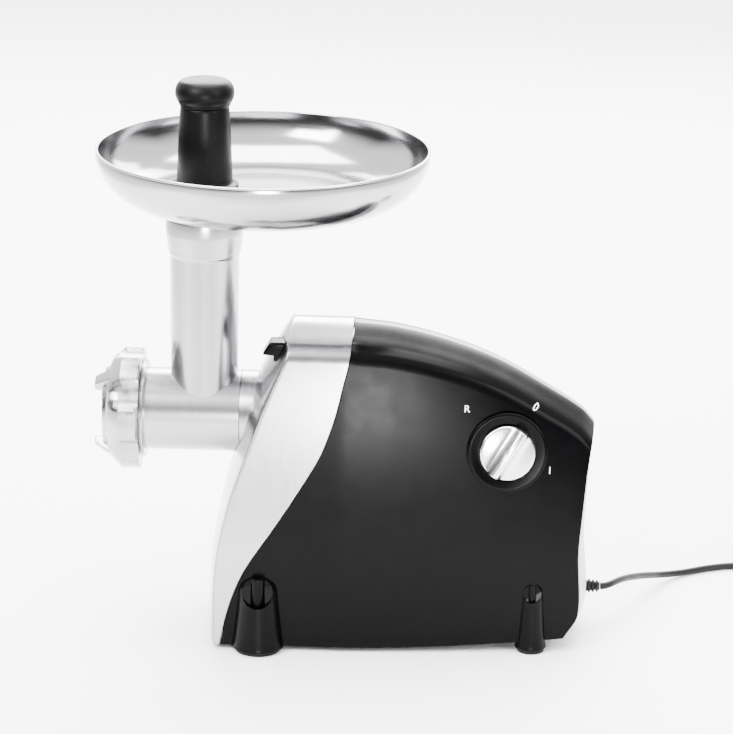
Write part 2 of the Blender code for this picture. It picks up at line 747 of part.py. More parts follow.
def make_nut():
    """Threaded ring nut with six lugs, three of them drawn forward into prongs."""
    at = (0, 0, AXIS_Z)
    nut = turned("ring_nut", [
        (NUT_BORE, NUT_REAR), (NUT_R - 0.0006, NUT_REAR), (NUT_R, NUT_REAR - 0.0010),
        (NUT_R, -0.1625), (0.0370, -0.1705), (0.0305, -0.1735), (0.0290, NUT_FRONT),
        (NUT_MOUTH, NUT_FRONT), (NUT_MOUTH, -0.1700), (0.0235, NUT_LIP), (NUT_BORE, NUT_LIP)],
        at, "X", 36)
    for i in range(NUT_LUGS):
        angle = math.tau * i / NUT_LUGS
        flute_at = (0, 0.0585 * math.sin(angle), AXIS_Z + 0.0585 * math.cos(angle))
        cut(nut, cylinder("nut_flute_%d" % i, 0.0195, -0.190, -0.140, flute_at, "X", 16))
    for i in range(3):
        angle = math.radians(-120.0 + 120.0 * i)
        prong = box("nut_prong_%d" % i, (-0.0055, 0.0225, NUT_TIP), (0.0055, 0.0285, -0.1700),
                    0.0010)
        for vertex in prong.data.vertices:
            if vertex.co.z > -0.1760 and vertex.co.y > 0.0255:
                vertex.co.y += 0.0075
        turn = Matrix.Rotation(angle, 4, "X") @ Matrix.Rotation(math.pi / 2, 4, "Y")
        prong.matrix_world = Matrix.Translation(Vector(at)) @ turn
        join(nut, prong)
    keep(nut, "cast_aluminium")


# ---------------------------------------------------------------- tray and plunger
def bowl(radius_drop, steps=5):
    """Quarter-ellipse side of the tray, from the rim down to the flat floor."""
    run = TRAY_R - TRAY_FLAT_R - radius_drop
    rise = TRAY_RIM - TRAY_FLOOR - radius_drop
    low = TRAY_FLOOR + radius_drop
    return [(TRAY_FLAT_R + run * math.cos(math.pi / 2 * i / steps),
             low + rise * (1.0 - math.sin(math.pi / 2 * i / steps))) for i in range(steps + 1)]


def make_tray():
    inner = bowl(SHEET)
    outer = bowl(0.0)
    rim = [(TRAY_R - SHEET, TRAY_RIM + 0.0008), (TRAY_R - 0.0004, TRAY_RIM + 0.0010)]
    profile = [(0.0, TRAY_FLOOR + SHEET)] + inner[::-1] + rim + outer + [(0.0, TRAY_FLOOR)]
    tray = turned("hopper_tray", profile, (TRAY_X, 0, 0), "Z", 32)
    spout = turned("tray_spout", [
        (0.0, TRAY_FLOOR + 0.0008), (0.0290, TRAY_FLOOR + 0.0008), (0.0275, 0.3160),
        (0.0275, TUBE_TOP + GAP), (SPOUT_R, TUBE_TOP + GAP), (SPOUT_R, 0.2960), (0.0, 0.2960)],
        (TUBE_X, 0, 0), "Z", 24)
    join(tray, spout)
    cut(tray, cylinder("spout_bore", SPOUT_BORE, 0.2900, 0.3300, (TUBE_X, 0, 0), "Z", 24))
    keep(tray, "chrome")


def make_plunger():
    floor = TRAY_FLOOR + SHEET + GAP
    plunger = turned("plunger", [
        (0.0, 0.3920), (0.0172, 0.3920), (0.0177, 0.3900), (0.0185, 0.3780), (0.0201, 0.3400),
        (0.0201, 0.3365), (0.0240, 0.3355), (0.0245, 0.3340), (0.0245, floor),
        (PLUNGER_R, floor), (PLUNGER_R, PLUNGER_END), (0.0180, PLUNGER_END), (0.0165, 0.3850),
        (0.0, 0.3850)], (TUBE_X, 0, 0), "Z", 24)
    keep(plunger, "black_matt")
    knob = turned("plunger_knob", [
        (0.0, PLUNGER_TOP), (0.0120, PLUNGER_TOP - 0.0003), (0.0180, PLUNGER_TOP - 0.0022),
        (0.0208, PLUNGER_TOP - 0.0062), (0.0214, PLUNGER_TOP - 0.0100),
        (0.0206, PLUNGER_TOP - 0.0142), (0.0182, PLUNGER_TOP - 0.0178),
        (0.0177, 0.3920 + GAP), (0.0, 0.3920 + GAP)],
        (TUBE_X, 0, 0), "Z", 24)
    keep(knob, "black_matt")


# ---------------------------------------------------------------- motor
def stator_outline():
    """Yoke with an upper and a lower pole; the window between them is one outline."""
    half = STATOR_HALF
    chamfer = 0.010
    outer = []
    for sx, sy in ((1, 1), (-1, 1), (-1, -1), (1, -1)):
        first = (sx * half, sy * (half - chamfer))
        second = (sx * (half - chamfer), sy * half)
        outer += [first, second] if sx * sy > 0 else [second, first]
    shoe = [math.radians(a) for a in (50, 65, 80, 90, 100, 115, 130)]
    side = [(0.0228 * math.cos(a), 0.0228 * math.sin(a)) for a in shoe]
    pole = [(-0.0125, 0.0335), (-0.0125, 0.0265), (-0.0190, 0.0195)] + side[::-1] + [
        (0.0190, 0.0195), (0.0125, 0.0265), (0.0125, 0.0335)]
    upper = [(-0.0335, 0.0335)] + pole + [(0.0335, 0.0335)]
    window = upper + [(-x, -y) for x, y in upper]
    return [outer, window]


def make_motor():
    at = (0, 0, MOTOR_Z)
    middle = (STATOR_FRONT + STATOR_REAR) / 2
    length = STATOR_REAR - STATOR_FRONT
    turn = [[(-y, x) for x, y in outline] for outline in stator_outline()]
    stator = flat("motor_stator", turn, length, (middle, 0, MOTOR_Z), "X")
    keep(stator, "steel")
    coil = [[(x0, y0), (x1, y0), (x1, y1), (x0, y1)] for x0, y0, x1, y1 in (
        (-length / 2 - 0.009, -0.0215, length / 2 + 0.009, 0.0215),
        (-length / 2 - 0.002, -0.0130, length / 2 + 0.002, 0.0130))]
    for name, side in (("field_coil_upper", 1), ("field_coil_lower", -1)):
        winding = flat(name, coil, 0.0058, (middle, 0, MOTOR_Z + side * 0.0301), "Z")
        keep(winding, "copper")
    shaft = cylinder("motor_shaft", SHAFT_R, -0.0265, SHAFT_REAR, at, "X", 12)
    teeth, _, module = STAGES[0]
    pinion = flat("pinion", [gear_outline(teeth, module)], PLANE_A[1] - PLANE_A[0] + 0.002,
                  (sum(PLANE_A) / 2, 0, MOTOR_Z), "X")
    join(shaft, pinion)
    keep(shaft, "steel")
    slots = []
    for i in range(12):
        for radius, offset in ((0.0222, -0.19), (0.0222, 0.19), (0.0165, 0.13), (0.0165, 0.35)):
            angle = math.tau * i / 12 + offset
            slots.append((radius * math.cos(angle), radius * math.sin(angle)))
    armature = flat("armature", [slots, circle(SHAFT_R + GAP, 12)], length,
                    (middle, 0, MOTOR_Z), "X")
    keep(armature, "steel")
    keep(ring("commutator", SHAFT_R + GAP, 0.0120, 0.0720, 0.0870, at, "X", 24), "copper")
    for name, side in (("brush_right", -1), ("brush_left", 1)):
        inner, outer = side * 0.0124, side * 0.0290
        keep(box(name, (0.0755, min(inner, outer), MOTOR_Z - 0.004),
                 (0.0845, max(inner, outer), MOTOR_Z + 0.004)), "brass")
    bar = [(-0.012, -0.034), (0.012, -0.034), (0.012, 0.034), (-0.012, 0.034)]
    bracket = flat("motor_bracket", [bar, circle(SHAFT_R + GAP, 12)], 0.006,
                   (0.096, 0, MOTOR_Z), "X")
    keep(bracket, "cast_aluminium")
    blades = []
    for i in range(9):
        for radius, offset in ((0.0090, -0.20), (0.0280, -0.02), (0.0280, 0.08), (0.0090, 0.10)):
            angle = math.tau * i / 9 + offset
            blades.append((radius * math.cos(angle), radius * math.sin(angle)))
    fan = flat("cooling_fan", [blades, circle(SHAFT_R + GAP, 12)], 0.012,
               (0.118, 0, MOTOR_Z), "X")
    keep(fan, "black_matt")


# ---------------------------------------------------------------- gear train
def gear_outline(teeth, module, turn=0.0):
    """Stub teeth, thinned for running clearance."""
    pitch_r = teeth * module / 2
    quarter = math.tau / teeth / 4
    outline = []
    for i in range(teeth):
        middle = turn + math.tau * i / teeth
        for radius, share in ((pitch_r - 1.0 * module, -1.10), (pitch_r + 0.72 * module, -0.32),
                              (pitch_r + 0.72 * module, 0.32), (pitch_r - 1.0 * module, 1.10)):
            angle = middle + share * quarter
            outline.append((radius * math.cos(angle), radius * math.sin(angle)))
    return outline


def gear_centres():
    """(y, z) of the motor, first gear, second gear and output, from the tooth counts."""
    reach = [(a + b) * module / 2 for a, b, module in STAGES]
    motor = Vector((0.0, MOTOR_Z))
    output = Vector((0.0, AXIS_Z))
    swing = Vector((math.sin(FIRST_GEAR_TURN), math.cos(FIRST_GEAR_TURN)))
    first = motor + reach[0] * swing
    line = output - first
    along = (reach[1] ** 2 - reach[2] ** 2 + line.length ** 2) / (2 * line.length)
    side = math.sqrt(reach[1] ** 2 - along ** 2)
    second = first + line.normalized() * along
    second += Vector((-line.y, line.x)).normalized() * side
    return motor, first, second, output


def plan_angle(start, end):
    """Direction from one centre to another, in the gear outline's own plane."""
    step = end - start
    return math.atan2(step.x, -step.y)


def gear_pair(name, centre, wheel, pinion):
    """Wheel and smaller pinion in one piece, on one bore."""
    (teeth_a, module_a, turn_a, plane_a), (teeth_b, module_b, turn_b, plane_b) = wheel, pinion
    bore = circle(AXLE_R + GAP, 12)
    gear = flat(name, [gear_outline(teeth_a, module_a, turn_a), bore],
                plane_a[1] - plane_a[0], (sum(plane_a) / 2, *centre), "X")
    high = plane_a[0] + 0.001
    small = flat(name + "_pinion", [gear_outline(teeth_b, module_b, turn_b), bore],
                 high - plane_b[0], ((high + plane_b[0]) / 2, *centre), "X")
    join(gear, small)
    return keep(gear, "nylon")


def make_gears():
    motor, first, second, output = gear_centres()
    (a0, b0, m0), (a1, b1, m1), (a2, b2, m2) = STAGES
    # a tooth of the driver points along each line of centres, and a space of the driven
    meet_0 = plan_angle(motor, first)
    pinion_turn = round(meet_0 / (math.tau / a0)) * math.tau / a0
    phase = (meet_0 - pinion_turn) * a0 / b0
    wheel_1 = plan_angle(first, motor) + math.pi / b0 + phase
    small_1 = plan_angle(first, second)
    gear_pair("gear_1", first, (b0, m0, wheel_1, PLANE_A), (a1, m1, small_1, PLANE_B))
    wheel_2 = plan_angle(second, first) + math.pi / b1
    small_2 = plan_angle(second, output)
    gear_pair("gear_2", second, (b1, m1, wheel_2, PLANE_B), (a2, m2, small_2, PLANE_C))
    wheel_3 = plan_angle(output, second) + math.pi / b2
    out = flat("output_gear", [gear_outline(b2, m2, wheel_3), circle(0.0064, 16)],
               PLANE_C[1] - PLANE_C[0], (sum(PLANE_C) / 2, 0, AXIS_Z), "X")
    sleeve = ring("output_sleeve", 0.0064, 0.0095, -0.0600, PLANE_C[0] + 0.001,
                  (0, 0, AXIS_Z), "X", 16)
    join(out, sleeve)
    keep(out, "steel")
    bush = ring("output_bush", 0.0095 + GAP, 0.0130, CASE_FRONT - 0.002,
                CASE_FRONT + CASE_WALL, (0, 0, AXIS_Z), "X", 24)
    keep(bush, "brass")
    for name, centre in (("gear_axle_1", first), ("gear_axle_2", second)):
        axle = cylinder(name, AXLE_R, CASE_FRONT + CASE_WALL + GAP, CASE_REAR - GAP,
                        (0, *centre), "X", 16)
        keep(axle, "steel")
    make_gearbox()


def case_outline(grow):
    """Rounded outline round the gears, about their own centres."""
    points = []
    for i in range(13):
        angle = -math.pi / 2 + math.pi * i / 12
        points.append((-0.164 - (0.0275 + grow) * math.cos(angle),
                       (0.0285 + grow) * math.sin(angle)))
    for i in range(13):
        angle = math.pi / 2 - math.pi * i / 12
        points.append((-0.085 + (0.014 + grow) * math.cos(angle),
                       (0.0285 + grow) * math.sin(angle)))
    return points


def make_gearbox():
    middle = (CASE_FRONT + CASE_REAR) / 2
    case = flat("gearbox_case", [case_outline(CASE_WALL)], CASE_REAR - CASE_FRONT,
                (middle, 0, 0), "X")
    hollow = flat("gearbox_hollow", [case_outline(0.0)], CASE_REAR - CASE_FRONT,
                  (middle + CASE_WALL, 0, 0), "X")
    cut(case, hollow)
    cut(case, cylinder("bush_hole", 0.0130 + GAP, -0.070, -0.040, (0, 0, AXIS_Z), "X", 32))
    keep(case, "cast_aluminium")
    lid = flat("gearbox_lid", [case_outline(CASE_WALL), circle(SHAFT_R + GAP, 20,
                                                               (-MOTOR_Z, 0.0))],
               0.003, (CASE_REAR + GAP + 0.0015, 0, 0), "X")
    keep(lid, "cast_aluminium")


# ---------------------------------------------------------------- mains cord
def smooth_route(points, step):
    """Even points along a smooth curve through the route's own points."""
    fine = []
    for i in range(len(points) - 1):
        before = points[max(i - 1, 0)]
        after = points[min(i + 2, len(points) - 1)]
        for k in range(20):
            s = k / 20
            fine.append(catmull(before, points[i], points[i + 1], after, s))
    fine.append(points[-1])
    even = [fine[0], points[1]]
    run = 0.0
    for a, b in zip(fine[20:], fine[21:]):
        run += (b - a).length
        if run >= step:
            even.append(b)
            run = 0.0
    if (even[-1] - fine[-1]).length < step / 2:
        even.pop()
    even.append(fine[-1])
    return even


def catmull(p0, p1, p2, p3, s):
    return 0.5 * ((2 * p1) + (p2 - p0) * s + (2 * p0 - 5 * p1 + 4 * p2 - p3) * s * s
                  + (3 * p1 - p0 - 3 * p2 + p3) * s ** 3)


def make_cord():
    relief = turned("strain_relief", [
        (0.0, RELIEF_END), (0.0036, RELIEF_END), (0.0058, 0.1845), (0.0060, 0.1800),
        (0.0060, 0.1745), (0.0085, 0.1742), (0.0085, 0.1715), (0.0, 0.1715)],
        (0, 0, CORD_Z), "X", 16)
    keep(relief, "black_matt")
    curve = bpy.data.curves.new("mains_cord", "CURVE")
    curve.dimensions = "3D"
    curve.bevel_depth = CORD_R
    curve.bevel_resolution = 2
    curve.use_fill_caps = True
    route = smooth_route([Vector(p) for p in CORD_ROUTE], 0.010)
    spline = curve.splines.new("POLY")
    spline.points.add(len(route) - 1)
    for point, spot in zip(spline.points, route):
        point.co = (*spot, 1.0)
    keep(bpy.data.objects.new("mains_cord", curve), "black_matt")
    coil = turned("cord_coil", [
        (COIL_INNER, COIL_HIGH - 0.003), (COIL_INNER + 0.003, COIL_HIGH),
        (COIL_OUTER - 0.003, COIL_HIGH), (COIL_OUTER, COIL_HIGH - 0.003),
        (COIL_OUTER, 0.0030), (COIL_OUTER - 0.003, 0.0), (COIL_INNER + 0.003, 0.0),
        (COIL_INNER, 0.003)], COIL_AT, "Z", 24)
    keep(coil, "black_matt")
    make_plug()


def make_plug():
    """Flat two-pin plug, lying on the coil."""
    body = [(-0.0270, -0.0040), (-0.0180, -0.0050), (-0.0050, -0.0125), (0.0080, -0.0130),
            (0.0080, 0.0130), (-0.0050, 0.0125), (-0.0180, 0.0050), (-0.0270, 0.0040)]
    thick = 0.0130
    at = PLUG_AT + Vector((0.004, 0, thick / 2 - 0.0004))
    plug = flat("mains_plug", [body], thick, at, "Z")
    for side in (-1, 1):
        hole = cylinder("pin_hole_%d" % (side + 2), 0.0020 + GAP, -0.006, 0.020,
                        at + Vector((0.0040, side * 0.0095, 0)), "X", 12)
        cut(plug, hole)
    keep(plug, "black_matt")
    for name, side in (("plug_pin_right", -1), ("plug_pin_left", 1)):
        pin = turned(name, [
            (0.0, 0.0270), (0.0010, 0.0270), (0.0020, 0.0255), (0.0020, -0.0010), (0.0, -0.0010)],
            at + Vector((0.0040, side * 0.0095, 0)), "X", 12)
        keep(pin, "brass")


def main():
    make_housing()
    make_base()
    make_feet()
    make_dial()
    make_release()
    make_head()
    make_auger()
    make_cutters()
    make_nut()
    make_tray()
    make_plunger()
    make_motor()
    make_gears()
    make_cord()


main()
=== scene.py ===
"""Electric meat grinder: the visible skins, finishes and studio around its working frame."""

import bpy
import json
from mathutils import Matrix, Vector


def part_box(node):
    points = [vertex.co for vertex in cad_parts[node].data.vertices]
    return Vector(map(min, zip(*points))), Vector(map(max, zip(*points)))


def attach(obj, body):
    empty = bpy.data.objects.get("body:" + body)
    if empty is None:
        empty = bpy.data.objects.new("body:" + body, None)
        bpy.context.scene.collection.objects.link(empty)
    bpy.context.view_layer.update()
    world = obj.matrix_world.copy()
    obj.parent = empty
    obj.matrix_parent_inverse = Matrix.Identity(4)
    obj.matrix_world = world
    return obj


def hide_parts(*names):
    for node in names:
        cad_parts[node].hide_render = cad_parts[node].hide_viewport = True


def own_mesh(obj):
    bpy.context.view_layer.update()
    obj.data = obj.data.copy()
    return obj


bl_info = {
    "name": "Electric meat grinder",
    "version": (1, 0, 0),
    "blender": (4, 5, 0),
    "location": "View3D > Sidebar > Grinder",
    "description": "Builds a kitchen meat grinder piece by piece around its working frame",
    "category": "Add Mesh",
}

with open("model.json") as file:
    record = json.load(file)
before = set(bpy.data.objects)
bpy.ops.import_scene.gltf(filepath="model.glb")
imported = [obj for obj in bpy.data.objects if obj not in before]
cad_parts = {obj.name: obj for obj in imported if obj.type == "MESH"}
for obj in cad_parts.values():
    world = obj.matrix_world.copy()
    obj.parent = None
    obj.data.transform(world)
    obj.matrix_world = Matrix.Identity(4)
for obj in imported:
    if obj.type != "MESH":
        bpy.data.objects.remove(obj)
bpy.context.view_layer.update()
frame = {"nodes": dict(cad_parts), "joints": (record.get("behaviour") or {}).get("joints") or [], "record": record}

import json
import math

import bpy
from bpy.props import FloatProperty, FloatVectorProperty, IntProperty, PointerProperty
from mathutils import Matrix, Vector


# ---------------------------------------------------------------- places from the frame
def low(node):
    return Vector(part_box(node)[0])


def high(node):
    return Vector(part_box(node)[1])


def middle(node):
    return (low(node) + high(node)) / 2


def joint(name):
    return next(j for j in frame["joints"] if j["name"] == name)


GAP = 0.0003
AXIS_Z = middle("ring_nut").z           # barrel, auger and nut turn about this height
TUBE_X = middle("plunger").x            # feed tube and plunger
TRAY_X = middle("hopper_tray").x
TRAY_R = (high("hopper_tray").x - low("hopper_tray").x) / 2
TRAY_RIM = high("hopper_tray").z - 0.001
DIAL = Vector(joint("dial_turn")["pos_m"])
DIAL_AXIS = Vector(joint("dial_turn")["axis"])

# grinding head
BARREL_R = 0.030
BARREL_REAR = -0.0763
SPIGOT_R = 0.024
SPIGOT_REAR = high("grinder_head").x
THREAD_R = 0.0355
THREAD_ROOT = THREAD_R - 0.0011
THREAD_REAR = -0.1457
HEAD_FRONT = low("grinder_head").x
TUBE_TOP = high("grinder_head").z
BARREL_BORE = 0.0243
TUBE_BORE = 0.0218
PLATE_R = 0.0268

# ring nut
NUT_REAR = high("ring_nut").x
NUT_TIP = low("ring_nut").x
NUT_FRONT = -0.176
NUT_LIP = -0.1648
NUT_R = 0.0444
NUT_BORE = 0.0360
NUT_MOUTH = 0.0215
FLUTE_R = 0.0195
FLUTE_OUT = 0.0585
NUT_LUGS = 6
NUT_PRONGS = 3

# tray and plunger
TRAY_FLOOR = 0.3220
TRAY_FLAT_R = 0.075
SHEET = 0.0016
SPOUT_R = 0.0236
SPOUT_BORE = 0.0216
PLUNGER_R = 0.0206
PLUNGER_END = low("plunger").z
PLUNGER_TOP = high("plunger_knob").z

# housing
WALL = 0.0026
SEAM = 0.0008
RIDGE_Z = high("front_cover").z
HALF_WIDTH_LOW = high("front_cover").y
HALF_WIDTH_TOP = 0.043
LOWER_EDGE = 0.004              # height of the housing's lower edge at the front
REAR_TOP = 0.165                # height of the rear edge's top
REAR_X = 0.165                  # the taper and the lower edge's rise run from 0 to here
REAR_TAPER = 0.24
SPINE_T = 0.11                  # half the strip's width, as a share of half the housing's

# cord
CORD_R = 0.0026
CORD_ROUTE = (
    (0.1918, 0.0000, 0.0340), (0.1950, 0.0003, 0.0341), (0.1990, 0.0035, 0.0341),
    (0.2035, 0.0108, 0.0334), (0.2084, 0.0200, 0.0318), (0.2130, 0.0300, 0.0292),
    (0.2180, 0.0415, 0.0257), (0.2232, 0.0535, 0.0218), (0.2285, 0.0655, 0.0177),
    (0.2340, 0.0770, 0.0136), (0.2400, 0.0880, 0.0097), (0.2465, 0.0975, 0.0065),
    (0.2540, 0.1055, 0.0043), (0.2625, 0.1120, 0.0031), (0.2720, 0.1180, 0.0028),
    (0.2830, 0.1238, 0.0028), (0.2950, 0.1283, 0.0028), (0.3070, 0.1308, 0.0028),
    (0.3190, 0.1318, 0.0028), (0.3290, 0.1324, 0.0028), (0.3362, 0.1333, 0.0028),
)
# last stretch, over the coil and into the plug
CORD_LEAD = (
    (0.3150, 0.1560, 0.0212), (0.3180, 0.1505, 0.0220), (0.3224, 0.1460, 0.0226),
    (0.3275, 0.1430, 0.0229), (0.3327, 0.1420, 0.0229),
)
COIL_AT = middle("cord_coil")
COIL_TURN_R = 0.0346
COIL_STEP = 0.0056              # from one turn to the next beside it
LAYER_STEP = 0.00525            # from one layer to the next above it
LAYER_Z = 0.0032
PLUG_PINS = ("plug_pin_right", "plug_pin_left")
PIN_R = 0.0020


# ---------------------------------------------------------------- sizes and colours
class GrinderSizes(bpy.types.PropertyGroup):
    turned_steps: IntProperty(
        name="Turned steps", description="Sides of a large turned piece", default=96, min=24)
    cord_diameter: FloatProperty(
        name="Cord diameter", description="Outside of the mains cord's sheath",
        default=2 * CORD_R, unit="LENGTH")
    mark_height: FloatProperty(
        name="Mark height", description="Height of the marks round the dial",
        default=0.0072, unit="LENGTH")


class GrinderColours(bpy.types.PropertyGroup):
    housing: FloatVectorProperty(
        name="Housing", description="Gloss black of the shells", subtype="COLOR",
        default=(0.0008, 0.0008, 0.0010))
    chrome: FloatVectorProperty(
        name="Cover", description="Plated front cover", subtype="COLOR",
        default=(0.37, 0.37, 0.38))
    aluminium: FloatVectorProperty(
        name="Aluminium", description="Head, nut and tray", subtype="COLOR",
        default=(0.37, 0.37, 0.38))
    trim: FloatVectorProperty(
        name="Trim", description="Grey strip and rear panel", subtype="COLOR",
        default=(0.20, 0.20, 0.21))
    floor: FloatVectorProperty(
        name="Floor", description="Studio floor", subtype="COLOR",
        default=(0.93, 0.93, 0.93))


def sizes():
    return bpy.context.scene.grinder_sizes


def colours():
    return bpy.context.scene.grinder_colours


# ---------------------------------------------------------------- finishes
class Finish:
    """One node material: uneven colour, uneven gloss and a fine relief."""

    def __init__(self, name, metal=0.0):
        self.material = bpy.data.materials.new(name)
        self.material.use_nodes = True
        self.tree = self.material.node_tree
        self.shader = self.tree.nodes["Principled BSDF"]
        self.shader.inputs["Metallic"].default_value = metal
        self.place = self.node("ShaderNodeTexCoord").outputs["Object"]
        self.relief = None

    def node(self, kind, **values):
        made = self.tree.nodes.new(kind)
        for name, value in values.items():
            setattr(made, name, value)
        return made

    def link(self, source, target):
        self.tree.links.new(source, target)

    def scaled(self, scale, at=(0, 0, 0)):
        mapping = self.node("ShaderNodeMapping", vector_type="POINT")
        mapping.inputs["Location"].default_value = [-a * s for a, s in zip(at, scale)]
        mapping.inputs["Scale"].default_value = scale
        self.link(self.place, mapping.inputs["Vector"])
        return mapping.outputs["Vector"]

    def noise(self, scale, detail=3.0, rough=0.5):
        """Noise in object space; unequal scales draw it out along an axis."""
        texture = self.node("ShaderNodeTexNoise")
        texture.inputs["Scale"].default_value = 1.0
        texture.inputs["Detail"].default_value = detail
        texture.inputs["Roughness"].default_value = rough
        self.link(self.scaled(scale), texture.inputs["Vector"])
        return texture.outputs["Fac"]

    def rings(self, at, mask, scale):
        """Marks of a turning tool: they change only with the distance from a line or plane."""
        length = self.node("ShaderNodeVectorMath", operation="LENGTH")
        self.link(self.scaled([m * scale for m in mask], at), length.inputs[0])
        texture = self.node("ShaderNodeTexNoise", noise_dimensions="1D")
        texture.inputs["Scale"].default_value = 1.0
        texture.inputs["Detail"].default_value = 4.0
        self.link(length.outputs["Value"], texture.inputs["W"])
        return texture.outputs["Fac"]

    def paper_and_painted_shade(self):
        """1 on the white sheet under the machine, 0 on the floor before and beside it, which is painted darker as
        painted shade: a dim surround for the housing and metals to reflect.
        """
        split = self.node("ShaderNodeSeparateXYZ")
        self.link(self.place, split.inputs[0])
        side = self.node("ShaderNodeMath", operation="ABSOLUTE")
        self.link(split.outputs["X"], side.inputs[0])
        beside = self.ranged(side.outputs[0], 1.0, 0.0, 0.66, 0.84)
        before = self.ranged(split.outputs["Y"], 0.0, 1.0, -0.66, -0.36)
        both = self.node("ShaderNodeMath", operation="MULTIPLY")
        self.link(beside, both.inputs[0])
        self.link(before, both.inputs[1])
        return both.outputs[0]

    def ranged(self, source, low_value, high_value, start=0.3, end=0.7):
        span = self.node("ShaderNodeMapRange")
        span.inputs["From Min"].default_value = start
        span.inputs["From Max"].default_value = end
        span.inputs["To Min"].default_value = low_value
        span.inputs["To Max"].default_value = high_value
        self.link(source, span.inputs["Value"])
        return span.outputs["Result"]

    def colour(self, source, first, second, start=0.35, end=0.65):
        ramp = self.node("ShaderNodeValToRGB")
        ramp.color_ramp.elements[0].position = start
        ramp.color_ramp.elements[1].position = end
        ramp.color_ramp.elements[0].color = (*first, 1.0)
        ramp.color_ramp.elements[1].color = (*second, 1.0)
        self.link(source, ramp.inputs["Fac"])
        self.link(ramp.outputs["Color"], self.shader.inputs["Base Color"])
        return self

    def gloss(self, source, smoothest, roughest, start=0.3, end=0.7):
        self.link(self.ranged(source, smoothest, roughest, start, end),
                  self.shader.inputs["Roughness"])
        return self

    def bump(self, source, strength, distance=0.0002):
        step = self.node("ShaderNodeBump")
        step.inputs["Strength"].default_value = strength
        step.inputs["Distance"].default_value = distance
        self.link(source, step.inputs["Height"])
        if self.relief is not None:
            self.link(self.relief, step.inputs["Normal"])
        self.relief = step.outputs["Normal"]
        self.link(self.relief, self.shader.inputs["Normal"])
        return self


def shade(colour, share):
    return tuple(min(1.0, c * share) for c in colour)


def plated(name, colour):
    """Bright plating on plastic, with faint upright polishing marks."""
    made = Finish(name, metal=1.0)
    made.colour(made.noise((9, 9, 9)), shade(colour, 0.97), colour)
    made.gloss(made.noise((500, 500, 12), 5.0), 0.20, 0.25)
    made.bump(made.noise((1500, 1500, 40), 2.0), 0.02, 0.00003)
    return made.material


def buffed(name, colour, at, mask, smoothest=0.16, roughest=0.32):
    """Cast or spun aluminium, buffed as it turned."""
    made = Finish(name, metal=1.0)
    made.colour(made.noise((30, 30, 30)), shade(colour, 0.94), colour)
    made.gloss(made.rings(at, mask, 500.0), smoothest, roughest)
    made.bump(made.noise((45, 45, 45)), 0.03, 0.0004)
    return made.material


def cast(name, colour, rough=0.34):
    """Die-cast metal, lightly tumbled."""
    made = Finish(name, metal=1.0)
    made.colour(made.noise((45, 45, 45)), shade(colour, 0.88), colour)
    made.gloss(made.noise((160, 160, 160)), rough - 0.07, rough + 0.09)
    made.bump(made.noise((900, 900, 900), 2.0), 0.14, 0.00012)
    return made.material


def machined(name, colour, rough=0.24):
    made = Finish(name, metal=1.0)
    made.colour(made.noise((60, 60, 60)), shade(colour, 0.9), colour)
    made.gloss(made.noise((30, 700, 700)), rough - 0.06, rough + 0.10)
    made.bump(made.noise((60, 1500, 1500), 2.0), 0.12, 0.00006)
    return made.material


def moulded(name, colour, smoothest, roughest, grain, depth, shine=0.5):
    """Moulded plastic or rubber with its skin's texture."""
    made = Finish(name)
    made.shader.inputs["Specular IOR Level"].default_value = shine
    made.colour(made.noise((35, 35, 35)), colour, shade(colour, 1.10))
    made.gloss(made.noise((70, 70, 70), 5.0), smoothest, roughest)
    made.bump(made.noise((grain, grain, grain), 2.0), depth, 0.0002)
    return made.material


MATERIALS = {}


def make_materials():
    tones = colours()
    aluminium = tuple(tones.aluminium)
    axis = (0.0, 0.0, AXIS_Z)
    MATERIALS.update({
        "chrome_cover": plated("cover_plating", tuple(tones.chrome)),
        "chrome_dial": plated("dial_plating", (0.70, 0.70, 0.71)),
        "tray_aluminium": buffed("tray_spun", aluminium, (TRAY_X, 0, 0), (1, 1, 0),
                                 0.13, 0.18),
        "cast_aluminium": buffed("head_buffed", aluminium, axis, (1, 0, 0), 0.22, 0.27),
        "nut_aluminium": cast("nut_tumbled", shade(aluminium, 1.02), 0.27),
        "gearbox_casting": cast("gearbox_as_cast", (0.55, 0.56, 0.57), 0.45),
        "black_gloss": moulded("housing_gloss", tuple(tones.housing), 0.22, 0.27, 420, 0.015, 0.05),
        "black_plastic": moulded("plain_moulding", (0.012, 0.012, 0.013), 0.42, 0.55, 900,
                                 0.25, 0.2),
        "plunger_black": moulded("plunger_satin", (0.0012, 0.0012, 0.0014), 0.34, 0.44, 700,
                                 0.08, 0.08),
        "grey_trim": moulded("trim_satin", tuple(tones.trim), 0.32, 0.44, 800, 0.10),
        "panel_grey": moulded("panel_satin", (0.50, 0.50, 0.51), 0.36, 0.48, 800, 0.10, 0.3),
        "rubber": moulded("foot_rubber", (0.006, 0.006, 0.006), 0.70, 0.88, 1200, 0.35, 0.15),
        "cord_black": moulded("cord_sheath", (0.003, 0.003, 0.0034), 0.40, 0.55, 600, 0.15, 0.15),
        "steel": machined("ground_steel", (0.62, 0.63, 0.65)),
        "copper": machined("enamelled_copper", (0.72, 0.32, 0.16), 0.30),
        "brass": machined("turned_brass", (0.75, 0.58, 0.28), 0.26),
        "nylon": moulded("natural_nylon", (0.80, 0.78, 0.70), 0.42, 0.56, 500, 0.10),
        "mark_white": moulded("printed_white", (0.80, 0.80, 0.80), 0.45, 0.60, 900, 0.05),
    })


def finished(obj, body, slot, *nodes, material=None):
    """Give a finished piece its material, its body and the nodes that it stands for."""
    obj.data.materials.clear()
    obj.data.materials.append(MATERIALS[material or slot])
    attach(obj, body)
    if nodes:
        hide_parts(*nodes)
    return obj


# ---------------------------------------------------------------- modelling helpers
AIM = {
    "X": Matrix.Rotation(math.pi / 2, 4, "Y"),
    "Y": Matrix.Rotation(-math.pi / 2, 4, "X"),
    "Z": Matrix.Identity(4),
}


